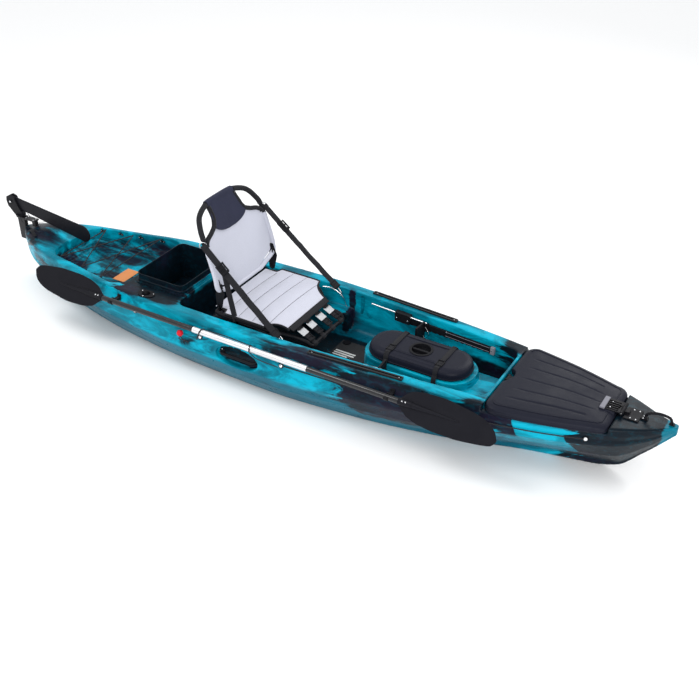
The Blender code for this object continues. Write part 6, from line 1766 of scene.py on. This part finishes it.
class KAYAK_OT_paddle(bpy.types.Operator):
    """Mould the paddle's blades, and dress its shafts and clips"""
    bl_idname = "kayak.paddle"
    bl_label = "Paddle"

    def execute(self, context):
        for way, label in ((-1, "aft"), (1, "forward")):
            finished(paddle_blade(way), "blade_moulding_" + label, "blade", "paddle", "paddle_blade_" + label)
            dressed("paddle_shaft_" + label, "shaft", 0.0, 35)
            dressed("paddle_clip_" + label, "black")
        dressed("paddle_centre_tube", "aluminium", 0.0006)
        root = PADDLE_REACH - BLADE_LENGTH
        spots = []
        for x in (PADDLE[0] - root - 0.022, PADDLE[0] - root - 0.040,
                  PADDLE[0] + root + 0.022, PADDLE[0] + root + 0.040):
            spots.append(((x, PADDLE[1] - 0.0173 * 0.6, PADDLE[2] + 0.0173 * 0.8), (0, -0.6, 0.8)))
        screws("blade_screws", "paddle", spots, 0.0080)
        clip_spots = []
        for x in (PADDLE[0] - root + 0.062, PADDLE[0] + root - 0.062):
            height = PADDLE[2] - 0.013
            clip_spots.append(((x, -(side_half(x, height) + 0.0055), height), (0, -1, 0.1)))
        screws("clip_screws", "hull", clip_spots, 0.0075)
        return {"FINISHED"}


class KAYAK_OT_fittings(bpy.types.Operator):
    """Dress the rigid fittings in their finishes"""
    bl_idname = "kayak.fittings"
    bl_label = "Rigid fittings"

    def execute(self, context):
        pairs = {
            "black": "bow_handle side_grip_port side_grip_starboard console_pod console_cap foot_rail_port "
                     "foot_rail_starboard foot_pedal_port foot_pedal_starboard rod_holder_port "
                     "rod_holder_starboard scupper_plug_port scupper_plug_starboard rudder_head "
                     "bow_hatch_strap bow_hatch_hinge bow_hatch_latch bow_hatch_latch_base",
            "blade": "rudder_blade",
            "rubber": "bow_hatch_seal",
            "aluminium": "foot_rod_port foot_rod_starboard",
            "anodised": "gear_track_port gear_track_starboard rudder_bracket",
            "steel": "bow_hatch_pin",
        }
        for key, names in pairs.items():
            for name in names.split():
                dressed(name, key, 0.0 if "handle" in name or "grip" in name else 0.0008, 40)
        for name in ("seat_hook_port", "seat_hook_starboard"):
            dressed(name, "steel", 0.0, 60)
        return {"FINISHED"}


class KAYAK_OT_details(bpy.types.Operator):
    """Fit the pad eyes, screws, bolts, hatch clip, bare patch and cockpit mat"""
    bl_idname = "kayak.details"
    bl_label = "Small fittings"

    def execute(self, context):
        self.pad_eyes()
        self.deck_screws(self.well_eyes())
        self.rudder_screws()
        self.hatch_clip()
        self.floor_pieces()
        return {"FINISHED"}

    def pad_eyes(self):
        """Round eyes along both sides, for the deck lines."""
        eyes, rims = [], []
        for x in (STERN + 1.153, STERN + 1.609, STERN + 2.110, BOW - 0.350):
            for side in (-1, 1):
                height = 0.252 if x < 1 else 0.262
                out = side_half(x, height)
                face = Vector((0.0 if x < 1 else 0.42, side, 0.30)).normalized()
                place = Vector((x, side * out, height))
                rims.append(rod(place - face * 0.002, place + face * 0.0045, 0.0150, 32, 0.0125))
                eyes.append((place + face * 0.0042, face))
        finished(joined("eye_rims", [rounded(r, 0.0008) for r in rims]), "pad_eye_bases", "black", "hull")
        screws("pad_eye_buttons", "hull", eyes, 0.019, "chrome")

    def well_eyes(self):
        """The eyes of the tank well's cord; returns where their screws go."""
        hooks, spots = [], []
        for station in (0.434, 0.556, 0.689, 0.830):
            x = STERN + station
            for side in (-1, 1):
                y = side * (tank_half(x) - 0.002)
                low, high = sorted((y, y - side * 0.007))
                hooks.append(block((x - 0.016, low, 0.288), (x + 0.016, high, 0.298)))
                hooks.append(ring_of((x, y - side * 0.006, 0.303), (1, 0, 0), 0.0068, 0.0019))
                for way in (-1, 1):
                    spots.append(((x + way * 0.011, y - side * 0.007, 0.293), (0, -side, 0)))
        finished(joined("hooks", hooks), "well_eyes", "black", "hull")
        return spots

    def deck_screws(self, spots):
        """Screws of the well's eyes, gear tracks, rod holders, side grips, hatch hinge and bow handle."""
        for side in (-1, 1):
            for x in (0.272, 0.738):
                y = side * (gunwale_half(x) - TRACK_INSET)
                height = min(gunwale_height(0.2525), gunwale_height(0.7575)) + 0.0105
                spots.append(((x, y, height - 0.004), (0, 0, 1)))
            deck = gunwale_height(ROD_PLACE[0] + 0.055) + 0.0043
            for a in (90, 210, 330):
                place = (ROD_PLACE[0] + 0.0385 * math.cos(math.radians(a)) * 1.12,
                         side * (ROD_PLACE[1] + 0.0292 * math.sin(math.radians(a)) * 1.02), deck)
                spots.append((place, (0, 0, 1)))
            out = chine_half(GRIP[0]) - GRIP_DEPTH + 0.0052
            for way in (-1, 1):
                spots.append(((GRIP[0] + way * 0.105, side * out, GRIP[1] + 0.0105), (0, side, 0)))
        deck = gunwale_height(HINGE_PIN_X + 0.08) + 0.0063
        for x in (HINGE_PIN_X + 0.040, HINGE_PIN_X + 0.066):
            for y in (-0.034, 0.034):
                spots.append(((x, y, deck), (0, 0, 1)))
        aft = BOW - 0.150
        for y in (0.0090, -0.0090):
            spots.append(((aft - 0.006, y, gunwale_height(aft + 0.014) + 0.0073), (0, 0, 1)))
        screws("deck_screws", "hull", spots, 0.0078)

    def rudder_screws(self):
        bolts = [((STERN + x, y, BRACKET_TOP), (0, 0, 1)) for x in (0.014, 0.074) for y in (-0.011, 0.011)]
        screws("bracket_screws", "hull", bolts, 0.0090)
        pivot = [((STERN - 0.085, side * 0.021, RUDDER_PIVOT_HEIGHT), (0, side, 0)) for side in (-1, 1)]
        screws("rudder_pivot_bolts", "rudder_head", pivot, 0.014)

    def hatch_clip(self):
        """The grey clip that holds the hatch lid's strap down at the hinge, and its screws."""
        strap_top = HINGE_PIN_X - 0.088
        lid_top = hatch_shelf() + REST_GAP + LID_RISE + LID_CROWN
        clip = block((strap_top - 0.012, -0.046, lid_top - 0.001),
                     (strap_top + 0.012, 0.046, lid_top + 0.0095))
        finished(rounded(clip, 0.003, 35, 3), "hatch_hinge_clip", "grey", "bow_hatch")
        spots = [((strap_top + 0.030, y, lid_top + 0.0045), (0, 0, 1)) for y in (-0.021, 0.021)]
        screws("hatch_hinge_screws", "bow_hatch", spots, 0.008)

    def floor_pieces(self):
        """The bare patch in the tank well, and the cockpit's rubber mat with its pale ribs."""
        patch = block((-1.212, -0.112, TANK_FLOOR + 0.0044), (-1.130, 0.022, TANK_FLOOR + 0.0058))
        finished(rounded(patch, 0.0004), "tank_patch", "patch", "hull")

        mat = block((0.170, -0.1450, COCKPIT_FLOOR), (0.425, 0.1450, COCKPIT_FLOOR + 0.003))
        cut(mat, *[rod((x, y, 0), (x, y, 1), 0.024) for x, y in SCUPPERS[:2]])
        finished(rounded(mat, 0.001), "cockpit_mat", "rubber", "hull")
        low, high = COCKPIT_FLOOR + 0.0032, COCKPIT_FLOOR + 0.0062
        ribs = [block((0.185, 0.018 * i, low), (0.305, 0.018 * i + 0.010, high)) for i in range(3)]
        finished(joined("ribs", [rounded(r, 0.001) for r in ribs]), "cockpit_mat_ribs", "pale", "hull")


class KAYAK_OT_foot_braces(bpy.types.Operator):
    """Add the foot braces' bolts, end caps, light edge lines and pull wires"""
    bl_idname = "kayak.foot_braces"
    bl_label = "Foot brace details"

    def execute(self, context):
        for side, label in SIDES:
            start, end = [Vector((x, side * (rim_half(x) - 0.0065), 0.280)) for x in (0.262, 1.002)]
            run = (end - start).normalized()
            across = Vector((0, 0, 1)).cross(run).normalized() * -side
            length = (end - start).length
            slide = 0.457 * length

            def at(along, out, up):
                """A point of the brace: along its rail, out from its face, and up."""
                return start + run * along + across * out + Vector((0, 0, up))

            spots = [(at(slide - 0.130 + d, 0.0292, 0.004), across) for d in (-0.034, 0.034)]
            spots += [(at(length - 0.012, 0.0164, 0.0), across), (at(slide + 0.13, 0.0164, 0.011), across)]
            screws("brace_screws_" + label, "hull", spots, 0.0095)
            body = "pedal_" + label
            spots = [(at(slide, 0.0224, up), across) for up in (-0.012, 0.012)]
            screws("pedal_bolts_" + label, body, spots, 0.0115)
            trim = [tube([at(slide + 0.125, 0.0166, up), at(length - 0.024, 0.0166, up)], 0.0011, 8)
                    for up in (-0.0085, 0.0145)]
            cap = block((0, 0, 0), (1, 1, 1))
            turn = Matrix((run, across, Vector((0, 0, 1)))).transposed().to_4x4()
            cap.data.transform(Matrix.Translation(at(length - 0.020, 0.0012, -0.0205)) @ turn
                               @ Matrix.Diagonal((0.0225, 0.0165, 0.041, 1)))
            trim.append(rounded(cap, 0.002))
            finished(joined("caps", trim), "brace_trim_" + label, "grey", "hull")
            wire = curve_points([at(slide + 0.012, 0.030, 0.010), at(slide + 0.030, 0.036, -0.002),
                                 at(slide + 0.040, 0.040, -0.026), at(slide + 0.022, 0.044, -0.048),
                                 at(slide + 0.008, 0.038, -0.040)], 6)
            finished(tube(wire, 0.0012, 8), "pedal_wire_" + label, "steel", body)
        return {"FINISHED"}


CAMERA_PLACE = (2.539, -3.780, 3.140)
CAMERA_AIM = (0.293, 0.0, 0.175)
CAMERA_LENS = 52.74


def faced(obj, place, aim):
    """Put a lamp or camera in the scene, turned towards a point."""
    bpy.context.scene.collection.objects.link(obj)
    obj.location = place
    obj.rotation_euler = (Vector(aim) - Vector(place)).to_track_quat("-Z", "Y").to_euler()
    return obj


class KAYAK_OT_stage(bpy.types.Operator):
    """Set up the pale floor, the soft lights and the camera"""
    bl_idname = "kayak.stage"
    bl_label = "Stage"

    def execute(self, context):
        self.floor()
        self.light(context.scene)
        lens = bpy.data.cameras.new("camera")
        lens.lens = CAMERA_LENS
        lens.sensor_width = 36
        lens.clip_start = 0.05
        context.scene.camera = faced(bpy.data.objects.new("camera", lens), CAMERA_PLACE, CAMERA_AIM)
        return {"FINISHED"}

    def floor(self):
        bm = bmesh.new()
        bmesh.ops.create_grid(bm, x_segments=1, y_segments=1, size=30)
        floor = from_bmesh(bm, "floor")
        if floor.data.polygons[0].normal.z < 0:
            floor.data.flip_normals()
        paper = bpy.data.materials.new("Pale floor")
        paper.use_nodes = True
        shader = paper.node_tree.nodes["Principled BSDF"]
        shader.inputs["Base Color"].default_value = (0.98, 0.98, 0.98, 1)
        shader.inputs["Roughness"].default_value = 0.9
        floor.data.materials.append(paper)
        floor.location.z = -0.0005

    def light(self, scene):
        """A pale sky and three soft round lamps."""
        world = scene.world or bpy.data.worlds.new("Studio")
        scene.world = world
        world.use_nodes = True
        sky = world.node_tree.nodes["Background"]
        sky.inputs["Color"].default_value = (0.98, 0.99, 1.0, 1)
        sky.inputs["Strength"].default_value = 0.95
        scene.view_settings.view_transform = "Standard"
        for name, place, aim, size, power in (
                ("key", (-1.8, -1.6, 4.4), (0, 0, 0.2), 2.0, 70),
                ("fill", (3.4, -3.6, 2.2), (0.4, 0, 0.2), 2.6, 95),
                ("back", (1.2, 3.8, 3.2), (0, 0, 0.3), 2.6, 60)):
            lamp = bpy.data.lights.new(name, "AREA")
            lamp.shape = "DISK"
            lamp.size = size
            lamp.energy = power * scene.kayak_looks.light
            faced(bpy.data.objects.new(name, lamp), place, aim)


OPERATORS = (KAYAK_OT_stage, KAYAK_OT_cords, KAYAK_OT_hull, KAYAK_OT_lids, KAYAK_OT_fittings, KAYAK_OT_frames,
             KAYAK_OT_seat_cloth, KAYAK_OT_straps, KAYAK_OT_paddle, KAYAK_OT_foot_braces, KAYAK_OT_details)


class KAYAK_PT_panel(bpy.types.Panel):
    """The kayak's pieces and looks in the sidebar"""
    bl_label = "Fishing kayak"
    bl_idname = "KAYAK_PT_panel"
    bl_space_type = "VIEW_3D"
    bl_region_type = "UI"
    bl_category = "Kayak"

    def draw(self, context):
        for key in KayakLooks.__annotations__:
            self.layout.prop(context.scene.kayak_looks, key)
        for operator in OPERATORS:
            self.layout.operator(operator.bl_idname)


def register():
    for kind in (KayakLooks, *OPERATORS, KAYAK_PT_panel):
        bpy.utils.register_class(kind)
    bpy.types.Scene.kayak_looks = PointerProperty(type=KayakLooks)


def unregister():
    del bpy.types.Scene.kayak_looks
    for kind in (KAYAK_PT_panel, *OPERATORS[::-1], KayakLooks):
        bpy.utils.unregister_class(kind)


def main():
    register()
    for operator in OPERATORS:
        group, name = operator.bl_idname.split(".")
        getattr(getattr(bpy.ops, group), name)()


if __name__ == "__main__":
    main()
